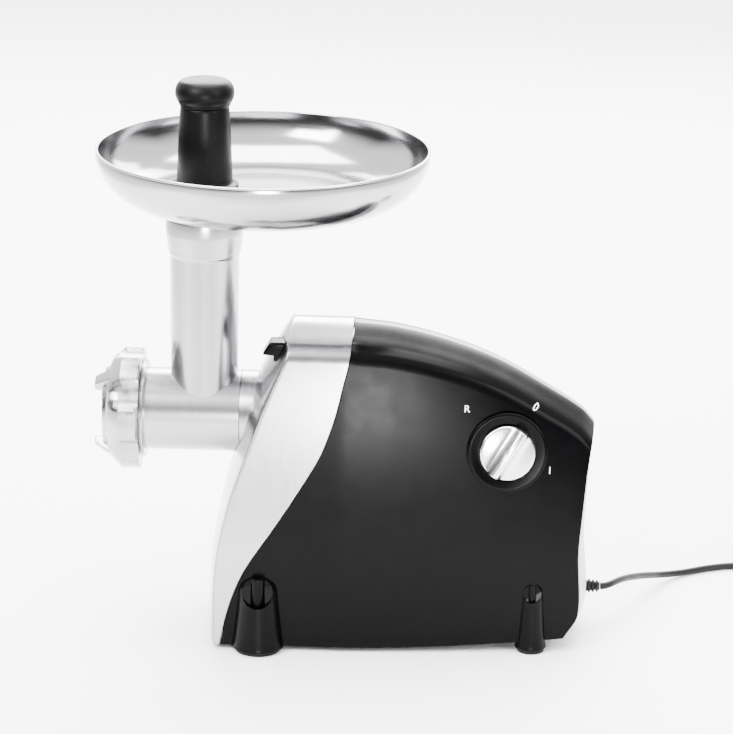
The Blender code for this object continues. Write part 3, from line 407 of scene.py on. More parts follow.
def aimed(axis):
    if isinstance(axis, str):
        return AIM[axis]
    return axis.to_track_quat("Z", "Y").to_matrix().to_4x4()


def start():
    """Object mode, with nothing selected."""
    if bpy.context.mode != "OBJECT":
        bpy.ops.object.mode_set(mode="OBJECT")
    bpy.ops.object.select_all(action="DESELECT")


def only(obj):
    start()
    obj.select_set(True)
    bpy.context.view_layer.objects.active = obj
    return obj


def named(name):
    obj = bpy.context.object
    obj.name = name
    obj.data.name = name
    return obj


def settle(obj, at=(0, 0, 0), axis="Z", spin=None):
    """Put a piece in place and move that place into its mesh."""
    only(obj)
    obj.matrix_world = Matrix.Translation(Vector(at)) @ aimed(axis) @ (spin or Matrix())
    bpy.ops.object.transform_apply(location=True, rotation=True, scale=True)
    return obj


def smooth(obj, angle=32.0):
    only(obj)
    bpy.ops.object.shade_smooth_by_angle(angle=math.radians(angle), keep_sharp_edges=False)
    return obj


def tidy(obj, distance=0.00001):
    only(obj)
    bpy.ops.object.mode_set(mode="EDIT")
    bpy.ops.mesh.select_all(action="SELECT")
    bpy.ops.mesh.remove_doubles(threshold=distance)
    bpy.ops.mesh.normals_make_consistent(inside=False)
    bpy.ops.object.mode_set(mode="OBJECT")
    return obj


def apply(obj, modifier):
    only(obj)
    bpy.ops.object.modifier_apply(modifier=modifier.name)
    return obj


def bevel(obj, width, segments=3, angle=35.0):
    soft = obj.modifiers.new("edges", "BEVEL")
    soft.width = width
    soft.segments = segments
    soft.limit_method = "ANGLE"
    soft.angle_limit = math.radians(angle)
    return apply(obj, soft)


def boolean(obj, other, operation, folded=False):
    """Cut or join with another shape; folded is for a mesh that may cross itself."""
    step = obj.modifiers.new("shape", "BOOLEAN")
    step.use_self = folded
    step.operation = operation
    step.solver = "EXACT"
    step.object = other
    apply(obj, step)
    bpy.data.objects.remove(other)
    return obj


def cut(obj, cutter, folded=False):
    return boolean(obj, cutter, "DIFFERENCE", folded)


def join(obj, other):
    return boolean(obj, other, "UNION")


def rounded(points, radius, steps=3):
    """Profile with its inner corners rounded."""
    flat = [Vector(p) for p in points]
    out = [flat[0]]
    for before, corner, after in zip(flat, flat[1:], flat[2:]):
        reach = min(radius, (before - corner).length / 2.1, (after - corner).length / 2.1)
        first = corner + (before - corner).normalized() * reach
        last = corner + (after - corner).normalized() * reach
        for k in range(steps + 1):
            s = k / steps
            out.append(first * (1 - s) ** 2 + corner * 2 * s * (1 - s) + last * s * s)
    out.append(flat[-1])
    return [tuple(p) for p in out]


def turned(name, profile, at=(0, 0, 0), axis="Z", steps=None):
    """A point drawn out along the profile (radius, height), then spun round."""
    start()
    bpy.ops.mesh.primitive_plane_add(size=0.01, location=(0, 0, 0))
    obj = named(name)
    bpy.ops.object.mode_set(mode="EDIT")
    bpy.ops.mesh.select_all(action="SELECT")
    bpy.ops.mesh.merge(type="CENTER")
    bpy.ops.mesh.select_all(action="SELECT")
    points = [Vector((r, 0.0, h)) for r, h in profile]
    if profile[0][0] > 0.0:
        points.append(points[0])
    bpy.ops.transform.translate(value=points[0])
    for here, there in zip(points, points[1:]):
        bpy.ops.mesh.extrude_region_move(TRANSFORM_OT_translate={"value": there - here})
    bpy.ops.mesh.select_all(action="SELECT")
    bpy.ops.mesh.spin(steps=steps or sizes().turned_steps, angle=math.tau, center=(0, 0, 0),
                      axis=(0, 0, 1))
    bpy.ops.object.mode_set(mode="OBJECT")
    tidy(obj)
    return settle(obj, at, axis)


def cylinder(name, radius, bottom_h, top_h, at=(0, 0, 0), axis="Z", steps=64):
    start()
    bpy.ops.mesh.primitive_cylinder_add(vertices=steps, radius=radius, depth=top_h - bottom_h,
                                        location=(0, 0, 0))
    obj = named(name)
    shift = Matrix.Translation((0, 0, (top_h + bottom_h) / 2))
    return settle(obj, at, axis, shift)


def box(name, lowest, highest, at=(0, 0, 0), axis="Z", spin=None):
    start()
    bpy.ops.mesh.primitive_cube_add(size=1.0, location=(0, 0, 0))
    obj = named(name)
    size = Vector(highest) - Vector(lowest)
    centre = (Vector(highest) + Vector(lowest)) / 2
    obj.scale = size
    obj.location = centre
    bpy.ops.object.transform_apply(location=True, rotation=True, scale=True)
    return settle(obj, at, axis, spin)


def surface(name, across, along, place):
    """Grid whose corners are placed by their column and row."""
    start()
    bpy.ops.mesh.primitive_grid_add(x_subdivisions=across, y_subdivisions=along, size=1.0)
    obj = named(name)
    for vertex in obj.data.vertices:
        column = round((vertex.co.x + 0.5) * across)
        row = round((vertex.co.y + 0.5) * along)
        vertex.co = place(column, row)
    return obj


def merged(*objs):
    only(objs[0])
    for other in objs[1:]:
        other.select_set(True)
    bpy.ops.object.join()
    return bpy.context.object


def face_out(obj, centre):
    """Turn an open skin so that its faces look away from a point inside it."""
    tidy(obj)
    away = sum((p.normal.dot(p.center - Vector(centre)) * p.area for p in obj.data.polygons))
    if away < 0:
        only(obj)
        bpy.ops.object.mode_set(mode="EDIT")
        bpy.ops.mesh.select_all(action="SELECT")
        bpy.ops.mesh.flip_normals()
        bpy.ops.object.mode_set(mode="OBJECT")
    return obj


def walled(obj, thick=WALL, side=-1.0):
    """Give a skin its thickness, inwards by default."""
    wall = obj.modifiers.new("wall", "SOLIDIFY")
    wall.thickness = thick
    wall.offset = side
    wall.use_even_offset = side < 0
    return apply(obj, wall)


def wire(name, points, radius):
    """Round curve of one open spline through the points."""
    start()
    bpy.ops.curve.primitive_bezier_curve_add(location=(0, 0, 0))
    obj = named(name)
    obj.data.splines.clear()
    spline = obj.data.splines.new("POLY")
    spline.points.add(len(points) - 1)
    for point, spot in zip(spline.points, points):
        point.co = (*spot, 1.0)
    spline.use_smooth = True
    obj.data.bevel_depth = radius
    obj.data.bevel_resolution = 3
    obj.data.use_fill_caps = True
    return obj


def tube(name, points, radius):
    """Round wire along points, made a mesh."""
    only(wire(name, points, radius))
    bpy.ops.object.convert(target="MESH")
    return tidy(bpy.context.object)


def curve_through(*points):
    """Smooth function through a few (position, value) points, in rising order."""
    xs = [p[0] for p in points]
    ys = [p[1] for p in points]
    slopes = []
    for i in range(len(points)):
        first = max(i - 1, 0)
        last = min(i + 1, len(points) - 1)
        slopes.append((ys[last] - ys[first]) / (xs[last] - xs[first]))

    def value(x):
        x = min(max(x, xs[0]), xs[-1])
        i = 0
        while i < len(xs) - 2 and x > xs[i + 1]:
            i += 1
        span = xs[i + 1] - xs[i]
        s = (x - xs[i]) / span
        return (ys[i] * (1 + 2 * s) * (1 - s) ** 2 + slopes[i] * span * s * (1 - s) ** 2
                + ys[i + 1] * s * s * (3 - 2 * s) + slopes[i + 1] * span * s * s * (s - 1))

    return value


# ---------------------------------------------------------------- housing surface
FRONT_EDGE = curve_through(
    (0.004, -0.092), (0.064, -0.0907), (0.109, -0.0822), (0.134, -0.0737),
    (0.177, -0.0587), (0.2195, -0.0405), (0.237, -0.0330))
FRONT_BULGE = curve_through(
    (0.004, 0.0060), (0.100, 0.0055), (0.140, 0.0080), (0.190, 0.0125),
    (0.2245, 0.0090), (0.237, 0.0050))
WAVE = curve_through(
    (0.004, -0.0870), (0.029, -0.0817), (0.050, -0.0747), (0.067, -0.0660),
    (0.093, -0.0488), (0.1205, -0.0315), (0.150, -0.0147), (0.178, -0.0050),
    (0.197, -0.0005), (0.220, 0.0048), (0.237, 0.0060))
REAR_EDGE = curve_through(
    (0.004, 0.1640), (0.021, 0.1741), (0.070, 0.1731), (0.102, 0.1751),
    (0.140, 0.1781), (0.165, 0.1810))
REAR_BULGE = curve_through((0.004, 0.0040), (0.025, 0.0060), (0.125, 0.0022), (0.165, 0.0015))
RIDGE = curve_through(
    (0.006, 0.2362), (0.0387, 0.2329), (0.075, 0.2243), (0.1114, 0.2108),
    (0.1484, 0.1903), (0.1731, 0.1745), (0.183, 0.1635))
ROOF = curve_through(
    (0.0, 0.0), (0.20, 0.0013), (0.50, 0.0049), (0.79, 0.0088), (0.90, 0.0118),
    (0.96, 0.0142), (1.0, 0.0175))


def bottom(x):
    return LOWER_EDGE + 0.0065 * max(x / REAR_X, 0.0) ** 2


def half_width(x, v):
    wide = HALF_WIDTH_LOW - (HALF_WIDTH_LOW - HALF_WIDTH_TOP) * v ** 2.2
    return wide * (1.0 - REAR_TAPER * max(x / REAR_X, 0.0) ** 1.3)


def rim_height(x, t):
    ridge = RIDGE_Z if x < 0.006 else RIDGE(x)
    return ridge - ROOF(abs(t))


def line_point(line, bulge, top, t, v):
    z = LOWER_EDGE + v * (top - LOWER_EDGE)
    return line(z) + bulge(z) * (1.0 - t * t)


def skin(part, s, t, v):
    """Point of the housing: s from front to rear, t across, v from bottom to top."""
    top = RIDGE_Z - ROOF(abs(t))
    if part == "cover":
        first = line_point(FRONT_EDGE, lambda z: -FRONT_BULGE(z), top, t, v)
        last = line_point(WAVE, lambda z: 0.0, top, t, v) - SEAM / 2
    else:
        first = line_point(WAVE, lambda z: 0.0, top, t, v) + SEAM / 2
        last = line_point(REAR_EDGE, REAR_BULGE, REAR_TOP - 0.6 * ROOF(abs(t)), t, v)
    x = first + s * (last - first)
    floor = bottom(x)
    z = floor + v * (rim_height(x, t) - floor)
    return Vector((x, t * half_width(x, v), z))


def section(low_t, high_t, across, up):
    """(t, v) pairs over the roof between two t, with the sides where t reaches 1."""
    pairs = []
    if low_t <= -1.0:
        pairs += [(-1.0, i / up) for i in range(up)]
    pairs += [(low_t + (high_t - low_t) * i / across, 1.0) for i in range(across + 1)]
    if high_t >= 1.0:
        pairs += [(1.0, 1.0 - i / up) for i in range(1, up + 1)]
    return pairs


INSIDE = (0.05, 0.0, 0.10)       # a point within the housing, which its skins face away from


def skin_sheet(name, part, low_t, high_t, across, up, along):
    pairs = section(low_t, high_t, across, up)
    obj = surface(name, len(pairs) - 1, along,
                  lambda i, j: skin(part, j / along, *pairs[i]))
    return face_out(obj, INSIDE)


def make_front_cover():
    wrap = skin_sheet("chrome_front_cover", "cover", -1.0, 1.0, 40, 48, 18)
    across, up = 40, 48
    face = surface("cover_face", across, up,
                   lambda i, j: skin("cover", 0.0, 2.0 * i / across - 1.0, j / up))
    face_out(face, INSIDE)
    cover = merged(wrap, face)
    face_out(cover, INSIDE)
    bevel(cover, 0.0011, 3, 40.0)
    walled(cover)
    cut(cover, cylinder("head_opening", BARREL_R + 0.0008, -0.100, -0.045, (0, 0, AXIS_Z), "X", 96),
        folded=True)
    button_low = low("release_button") - Vector((0.010, 0.0008, 0.0008))
    button_high = high("release_button") + Vector((0.0, 0.0008, 0.0008))
    button_high.x = -0.0350
    cut(cover, box("button_opening", button_low, button_high), folded=True)
    smooth(cover)
    finished(cover, "machine", "chrome_cover", "front_cover")
    for name, side in (("cover_bead_right", -1.0), ("cover_bead_left", 1.0)):
        line = [skin("cover", 0.012, side, 0.02 + 0.95 * i / 80) for i in range(81)]
        bead = smooth(tube(name, line, 0.0007))
        finished(bead, "machine", "chrome_cover")


def make_shells():
    for name, node, first, last in (
            ("gloss_right_shell", "right_shell", -1.0, -SPINE_T - 0.006),
            ("gloss_left_shell", "left_shell", SPINE_T + 0.006, 1.0)):
        shell = skin_sheet(name, "body", first, last, 24, 48, 64)
        walled(shell)
        if node == "right_shell":
            rim = high("dial_dish") - low("dial_dish")
            hole = cylinder("dial_hole", rim.x / 2 + GAP, -0.020, 0.012, DIAL, DIAL_AXIS, 96)
            cut(shell, hole)
        smooth(shell)
        finished(shell, "machine", "black_gloss", node)


def make_spine():
    strip = skin_sheet("satin_spine_strip", "body", -SPINE_T, SPINE_T, 12, 1, 64)
    walled(strip)
    bevel(strip, 0.0005, 2, 50.0)
    smooth(strip)
    finished(strip, "machine", "grey_trim", "spine_strip")


def make_rear_panel():
    """Grey rear cover with a column of cooling slots and the cord's hole."""
    across, up = 24, 36

    def place(i, j):
        t = 2.0 * i / across - 1.0
        v = 0.045 + 0.90 * j / up
        edge = skin("body", 1.0, t, v)
        y = t * (half_width(edge.x, v) - WALL - 0.0008)
        return Vector((edge.x + 0.0006, y, edge.z))

    panel = face_out(surface("satin_rear_panel", across, up, place), INSIDE)
    walled(panel)
    for row in range(7):
        z = 0.070 + 0.0085 * row
        slot = box("vent_slot", (0.160, -0.0200, z - 0.0016), (0.200, 0.0200, z + 0.0016))
        cut(panel, slot)
    relief_at = (0, 0, middle("strain_relief").z)
    cut(panel, cylinder("relief_hole", 0.0063, 0.160, 0.200, relief_at, "X"))
    smooth(panel)
    finished(panel, "machine", "grey_trim", "rear_panel", material="panel_grey")


# ---------------------------------------------------------------- feet
FEET = (("front_right", 0.0195, 0.0145), ("front_left", 0.0195, 0.0145),
        ("rear_right", 0.0118, 0.0085), ("rear_left", 0.0118, 0.0085))
FOOT_EYE_Z = 0.0455


def make_feet():
    """Half cones that grow out of the sides, with a pocket and a post above."""
    for place, wide, narrow in FEET:
        pad_spot = middle("pad_" + place)
        side = math.copysign(1.0, pad_spot.y)
        reach = 0.0578 if place.startswith("front") else 0.0548
        dome = [(narrow * math.sin(math.pi / 2 * k / 8),
                 0.0460 + (reach - 0.0460) * math.cos(math.pi / 2 * k / 8)) for k in range(9)]
        foot = turned("gloss_foot_" + place, rounded(dome + [
            (narrow * 1.02, 0.0420), (wide - 0.0006, 0.0060), (wide, 0.0030), (0.0, 0.0030)],
            0.0010, 3), (pad_spot.x, pad_spot.y, 0), "Z", 72)
        eye = narrow * 0.78
        pocket = cylinder("foot_pocket", eye, 0.0, 0.030,
                          (pad_spot.x, pad_spot.y + side * 0.004, FOOT_EYE_Z),
                          Vector((0, side, 0.25)), 48)
        cut(foot, pocket)
        post = turned("foot_post", rounded([
            (0.0, FOOT_EYE_Z + eye + 0.001), (eye * 0.42, FOOT_EYE_Z + eye + 0.001),
            (eye * 0.48, FOOT_EYE_Z - eye), (0.0, FOOT_EYE_Z - eye)], 0.0008),
            (pad_spot.x, pad_spot.y + side * (narrow * 0.42), 0), "Z", 32)
        foot = merged(foot, post)
        smooth(foot)
        finished(foot, "machine", "black_gloss", "foot_" + place)
        top = high("pad_" + place).z
        pad = turned("soft_pad_" + place, rounded([
            (0.0, top), (wide * 0.86, top), (wide * 0.86, 0.0), (0.0, 0.0)], 0.0007),
            (pad_spot.x, pad_spot.y, 0), "Z", 72)
        smooth(pad)
        finished(pad, "machine", "rubber", "pad_" + place)


# ---------------------------------------------------------------- dial
DISH_R = 0.0286
KNOB_R = 0.0200
OFF_TURN = math.radians(57.0)


def make_dial():
    dish = turned("gloss_dial_dish", rounded([
        (0.0213, 0.0002), (DISH_R - 0.0016, 0.0013), (DISH_R + 0.0006, 0.0006),
        (DISH_R + 0.0004, -0.0004), (DISH_R, -0.0008), (DISH_R, -0.0060), (0.0050, -0.0060),
        (0.0050, -0.0040), (0.0213, -0.0040)], 0.0006), DIAL, DIAL_AXIS)
    smooth(dish)
    finished(dish, "machine", "black_gloss", "dial_dish")

    rim_h, crown_h = 0.0040, 0.0125
    rows = 14
    profile = [(KNOB_R * 0.965 * k / rows, 0.0060) for k in range(rows + 1)]
    profile += [(KNOB_R, rim_h - 0.0012), (KNOB_R, -0.0036), (0.0046, -0.0036), (0.0046, 0.0010),
                (0.0, 0.0010)]
    knob = turned("plated_dial_knob", profile, (0, 0, 0), "Z", 96)
    for vertex in knob.data.vertices:
        if vertex.co.z > 0.0055:
            across = abs(vertex.co.x)
            radius = math.hypot(vertex.co.x, vertex.co.y)
            crest = 1.0 / (1.0 + (across / 0.0042) ** 4)
            drop = 0.0016 * (radius / KNOB_R) ** 2
            vertex.co.z = rim_h + 0.0012 + (crown_h - rim_h - 0.0012) * crest - drop
    upright = aimed(DIAL_AXIS).to_3x3().inverted() @ Vector((math.cos(OFF_TURN), 0.0,
                                                             math.sin(OFF_TURN)))
    spin = Matrix.Rotation(math.atan2(upright.y, upright.x) - math.pi / 2, 4, "Z")
    settle(knob, DIAL, DIAL_AXIS, spin)
    bevel(knob, 0.0006, 3, 38.0)
    smooth(knob, 40.0)
    finished(knob, "dial", "chrome_dial", "dial_knob")


def make_marks():
    """Plain marks for reverse, stop and run, printed on the shell round the dial."""
    shell = bpy.data.objects["gloss_right_shell"]
    for name, letter, x, z, lean in (
            ("mark_reverse", "R", 0.0892, 0.1836, 0.0), ("mark_stop", "0", 0.1386, 0.1833, -0.7),
            ("mark_run", "I", 0.1502, 0.1379, 0.0)):
        start()
        bpy.ops.object.text_add(location=(0, 0, 0))
        mark = named(name)
        mark.data.body = letter
        mark.data.size = sizes().mark_height
        mark.data.align_x = "CENTER"
        mark.data.align_y = "CENTER"
        only(mark)
        bpy.ops.object.convert(target="MESH")
        mark = bpy.context.object
        only(mark)
        bpy.ops.object.mode_set(mode="EDIT")
        bpy.ops.mesh.select_all(action="SELECT")
        bpy.ops.mesh.subdivide(number_cuts=1)
        bpy.ops.object.mode_set(mode="OBJECT")
        turn = Matrix.Rotation(lean, 4, "Z")
        settle(mark, (x, -0.2, z), "Z", Matrix.Rotation(math.pi / 2, 4, "X") @ turn)
        for vertex in mark.data.vertices:
            hit, spot, _, _ = shell.ray_cast(vertex.co, (0, 1, 0))
            if not hit:
                raise RuntimeError(name + " misses the shell")
            vertex.co.y = spot.y - 0.00012
        face_out(mark, (x, 0.5, z))
        walled(mark, 0.0003)
        finished(mark, "machine", "black_gloss", material="mark_white")


# ---------------------------------------------------------------- release button
def make_button():
    """Hooded thumb button with a short tab below it, and the stem behind."""
    near, far = low("release_button"), high("release_button")
    head_rear = -0.0415          # the head ends just inside the cover
    slope, hang = 0.0058, 0.0040
    button = box("gloss_release_button", near, (head_rear, far.y, far.z))
    for vertex in button.data.vertices:
        if vertex.co.x < head_rear - 0.001:
            if vertex.co.z > middle("release_button").z:
                vertex.co.x += slope
            else:
                vertex.co.z += 0.0006
        elif vertex.co.z < middle("release_button").z:
            vertex.co.x -= hang
    bevel(button, 0.0018, 4, 30.0)
    tab = box("button_tab", (-0.0512, near.y + 0.0012, near.z - 0.0042),
              (-0.0466, near.y + 0.0080, near.z + 0.0015))
    bevel(tab, 0.0009, 3, 30.0)
    stem = box("button_stem", (head_rear - 0.0040, near.y + 0.005, near.z + 0.002),
               (far.x, far.y - 0.005, near.z + 0.0072))
    bevel(stem, 0.0005, 2, 30.0)
    join(button, stem)
    join(button, tab)
    smooth(button)
    finished(button, "button", "black_gloss", "release_button")


def make_spring():
    """Coil spring that the latch arm presses together against its stop."""
    near, far = low("latch_spring"), high("latch_spring")
    centre = middle("latch_spring")
    gauge, turns, per_turn = 0.0005, 5, 24
    radius = (far.z - near.z) / 2 - gauge
    line = [Vector((near.x + gauge + (far.x - near.x - 2 * gauge) * k / (turns * per_turn),
                    centre.y + radius * math.cos(math.tau * k / per_turn),
                    centre.z + radius * math.sin(math.tau * k / per_turn)))
            for k in range(turns * per_turn + 1)]
    spring = smooth(tube("steel_latch_spring", line, gauge))
    finished(spring, "machine", "steel", "latch_spring")
    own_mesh(spring)


# ---------------------------------------------------------------- grinding head
def make_socket():
    socket = turned("buffed_head_socket", rounded([
        (SPIGOT_R + 0.0004, -0.0560), (0.0325, -0.0560), (0.0325, -0.0580),
        (BARREL_R, -0.0600), (BARREL_R, -0.0760), (SPIGOT_R + 0.0004, -0.0760)], 0.0006),
        (0, 0, AXIS_Z), "X")
    smooth(socket)
    finished(socket, "machine", "cast_aluminium", "head_socket")


def make_head():
    """Barrel and feed tube in one casting, bored through, with a thread for the nut."""
    steps = 128
    thread = []
    turns = 6
    pitch = (HEAD_FRONT - THREAD_REAR) / turns
    for k in range(turns):
        x = THREAD_REAR + 0.0008 * math.copysign(1, pitch) + pitch * 0.93 * k
        thread += [(THREAD_R, x), (THREAD_R, x + pitch * 0.30),
                   (THREAD_ROOT, x + pitch * 0.52), (THREAD_ROOT, x + pitch * 0.66)]
    barrel = [(0.0, SPIGOT_REAR), (SPIGOT_R, SPIGOT_REAR), (SPIGOT_R, BARREL_REAR),
              (BARREL_R, BARREL_REAR), (BARREL_R, THREAD_REAR), (THREAD_R - 0.0006, THREAD_REAR)]
    head = turned("buffed_grinder_head",
                  barrel + thread + [(THREAD_ROOT, HEAD_FRONT), (0.0, HEAD_FRONT)],
                  (0, 0, AXIS_Z), "X", steps)
    outside = rounded([
        (0.0, TUBE_TOP), (0.0282, TUBE_TOP), (0.0282, 0.300), (0.0264, 0.287),
        (0.0262, 0.2845), (0.0252, 0.283), (0.0246, 0.195), (0.0246, AXIS_Z), (0.0, AXIS_Z)],
        0.0010)
    join(head, turned("feed_tube", outside, (TUBE_X, 0, 0), "Z", steps))
    cut(head, turned("barrel_bore", [
        (0.0, SPIGOT_REAR + 0.001), (0.0100, SPIGOT_REAR + 0.001), (0.0100, -0.0700),
        (0.0066, -0.0700), (0.0066, -0.0825), (BARREL_BORE, -0.0825), (BARREL_BORE, -0.1593),
        (PLATE_R + GAP, -0.1593), (PLATE_R + GAP, HEAD_FRONT - 0.001), (0.0, HEAD_FRONT - 0.001)],
        (0, 0, AXIS_Z), "X", 96))
    cut(head, turned("feed_bore", [
        (0.0, TUBE_TOP + 0.001), (SPOUT_R + 0.0004, TUBE_TOP + 0.001), (SPOUT_R + 0.0004, 0.2955),
        (TUBE_BORE, 0.2955), (TUBE_BORE, AXIS_Z), (0.0, AXIS_Z)], (TUBE_X, 0, 0), "Z", 96))
    smooth(head, 28.0)
    finished(head, "head", "cast_aluminium", "grinder_head")


def softest(a, b, blend_width):
    """Smaller of two lengths, blended where they meet."""
    h = max(blend_width - abs(a - b), 0.0) / blend_width
    return min(a, b) - h * h * blend_width / 4


def flute_radius(angle):
    """Distance from the nut's axis to the flute that faces this angle."""
    step = math.tau / NUT_LUGS
    off = (angle + step / 2) % step - step / 2
    side = FLUTE_OUT * math.sin(off)
    if abs(side) >= FLUTE_R:
        return 1.0
    return FLUTE_OUT * math.cos(off) - math.sqrt(FLUTE_R ** 2 - side ** 2)


def make_nut():
    """Fluted ring nut with a chamfered front and three prongs."""
    outer = [(NUT_R - 0.0010, NUT_REAR), (NUT_R, NUT_REAR - 0.0010)]
    outer += [(NUT_R, NUT_REAR - 0.0010 - 0.0020 * k) for k in range(1, 6)]
    outer += [(NUT_R, -0.1625), (0.0407, -0.1665), (0.0370, -0.1705), (0.0338, -0.1722),
              (0.0305, -0.1735), (0.0290, NUT_FRONT)]
    nut = turned("tumbled_ring_nut", [(NUT_BORE, NUT_REAR)] + outer + rounded([
        (0.0250, NUT_FRONT), (NUT_MOUTH, NUT_FRONT), (NUT_MOUTH, -0.1700), (0.0235, NUT_LIP),
        (NUT_BORE, NUT_LIP)], 0.0008), (0, 0, 0), "Z", 288)
    for vertex in nut.data.vertices:
        radius = math.hypot(vertex.co.x, vertex.co.y)
        if radius > NUT_BORE + 0.0005 or vertex.co.z < -0.1700:
            angle = math.atan2(vertex.co.y, -vertex.co.x)
            limit = flute_radius(angle)
            if limit < radius + 0.0015:
                share = softest(radius, limit, 0.0014) / radius
                vertex.co.x *= share
                vertex.co.y *= share
    settle(nut, (0, 0, AXIS_Z), "X")
    for i in range(NUT_PRONGS):
        angle = math.radians(-120.0 + 120.0 * i)
        spin = Matrix.Rotation(-math.pi / 2, 4, "Y") @ Matrix.Rotation(angle, 4, "X") @ \
            Matrix.Rotation(math.pi / 2, 4, "Y")
        prong = box("nut_prong", (-0.0056, 0.0225, NUT_TIP), (0.0056, 0.0285, -0.1690))
        for vertex in prong.data.vertices:
            if vertex.co.z > NUT_FRONT and vertex.co.y > 0.0255:
                vertex.co.y += 0.0085
            elif vertex.co.z < NUT_FRONT:
                vertex.co.x *= 0.82
        settle(prong, (0, 0, AXIS_Z), "X", spin)
        bevel(prong, 0.0009, 3, 30.0)
        join(nut, prong)
    smooth(nut, 30.0)
    finished(nut, "nut", "cast_aluminium", "ring_nut", material="nut_aluminium")


def make_plate():
    """Perforated grinding plate: a disc with rings of round holes."""
    near, far = low("grinding_plate"), high("grinding_plate")
    thick = far.x - near.x
    plate = turned("ground_plate", rounded([
        (0.0, thick / 2), (PLATE_R, thick / 2), (PLATE_R, -thick / 2), (0.0, -thick / 2)], 0.0004),
        (0, 0, 0), "Z", 96)
    holes = [(0.0, 0.0, 0.0042)]
    for count, radius in ((5, 0.0095), (10, 0.0160), (14, 0.0224)):
        for i in range(count):
            angle = math.tau * (i + 0.5) / count
            holes.append((radius * math.cos(angle), radius * math.sin(angle), 0.0027))
    drills = [cylinder("drill", r, -thick, thick, (x, y, 0), "Z", 24) for x, y, r in holes]
    cut(plate, merged(*drills))
    settle(plate, ((near.x + far.x) / 2, 0, AXIS_Z), "X")
    smooth(plate)
    finished(plate, "head", "steel", "grinding_plate")


AUGER_FRONT = -0.1556
AUGER_REAR = -0.0848
AUGER_TAIL = high("auger").x
AUGER_R = 0.0237
AUGER_PITCH = 0.024


def polygon_radius(corner, sides, angle):
    half = math.pi / sides
    return corner * math.cos(half) / math.cos(angle % (2 * half) - half)


def flight_radius(share, angle):
    core = 0.0115 - 0.0025 * share
    phase = (angle / math.tau - share * (AUGER_REAR - AUGER_FRONT) / AUGER_PITCH) % 1.0
    crest = max(0.0, 1.0 - abs(phase - 0.5) / 0.22)
    rise = min(1.0, crest * 1.7)
    return core + (AUGER_R - core) * rise * rise * (3 - 2 * rise)


def make_auger():
    """Square pin, screw, neck and six-sided tail: one casting."""
    around, along = 72, 180
    rows = [(low("auger").x, None), (low("auger").x, "pin"), (AUGER_FRONT, "pin")]
    rows += [(AUGER_FRONT + (AUGER_REAR - AUGER_FRONT) * i / along, i / along)
             for i in range(along + 1)]
    rows += [(AUGER_REAR, "neck"), (-0.0700, "neck"), (-0.0700, "tail"), (AUGER_TAIL, "tail"),
             (AUGER_TAIL, None)]

    def place(i, j):
        x, kind = rows[j]
        angle = math.tau * i / around
        if kind is None:
            radius = 0.0
        elif kind == "pin":
            radius = polygon_radius(0.0036, 4, angle)
        elif kind == "neck":
            radius = 0.0060
        elif kind == "tail":
            radius = polygon_radius(0.0056, 6, angle)
        else:
            radius = flight_radius(kind, angle)
        return Vector((x, radius * math.cos(angle), AXIS_Z + radius * math.sin(angle)))

    auger = tidy(surface("cast_auger", around, len(rows) - 1, place))
    smooth(auger, 40.0)
    finished(auger, "screw", "cast_aluminium", "auger", material="nut_aluminium")


# ---------------------------------------------------------------- tray and plunger
def bowl(drop, steps=20):
    run = TRAY_R - TRAY_FLAT_R - drop
    rise = TRAY_RIM - TRAY_FLOOR - drop
    return [(TRAY_FLAT_R + run * math.cos(math.pi / 2 * i / steps),
             TRAY_FLOOR + drop + rise * (1.0 - math.sin(math.pi / 2 * i / steps)))
            for i in range(steps + 1)]


def make_tray():
    """Spun bowl with a rolled rim, a dished floor and a spout over the feed tube."""
    rim_r = 0.0011
    rolled = [(TRAY_R - 0.0010 + rim_r * math.cos(a),
               TRAY_RIM + rim_r * 0.1 + rim_r * 0.8 * math.sin(a))
              for a in [math.pi - math.pi * 1.35 * k / 8 for k in range(9)]]
    floor = [(TRAY_FLAT_R * k / 10, TRAY_FLOOR + SHEET - 0.0001) for k in range(10)]
    under = [(TRAY_FLAT_R * (9 - k) / 10, TRAY_FLOOR) for k in range(10)]
    profile = floor + bowl(SHEET)[::-1] + rolled + bowl(0.0)[1:] + under
    tray = turned("spun_hopper_tray", profile, (TRAY_X, 0, 0), "Z", 192)
    spout = turned("tray_spout", rounded([
        (0.0, TRAY_FLOOR + 0.0008), (0.0310, TRAY_FLOOR + 0.0008), (0.0278, 0.3180),
        (0.0275, 0.3160), (0.0275, TUBE_TOP + GAP), (SPOUT_R, TUBE_TOP + GAP),
        (SPOUT_R, 0.2960), (0.0, 0.2960)], 0.0006), (TUBE_X, 0, 0), "Z", 96)
    join(tray, spout)
    cut(tray, cylinder("spout_bore", SPOUT_BORE, 0.2900, 0.3300, (TUBE_X, 0, 0), "Z", 96))
    smooth(tray)
    finished(tray, "tray", "tray_aluminium", "hopper_tray")


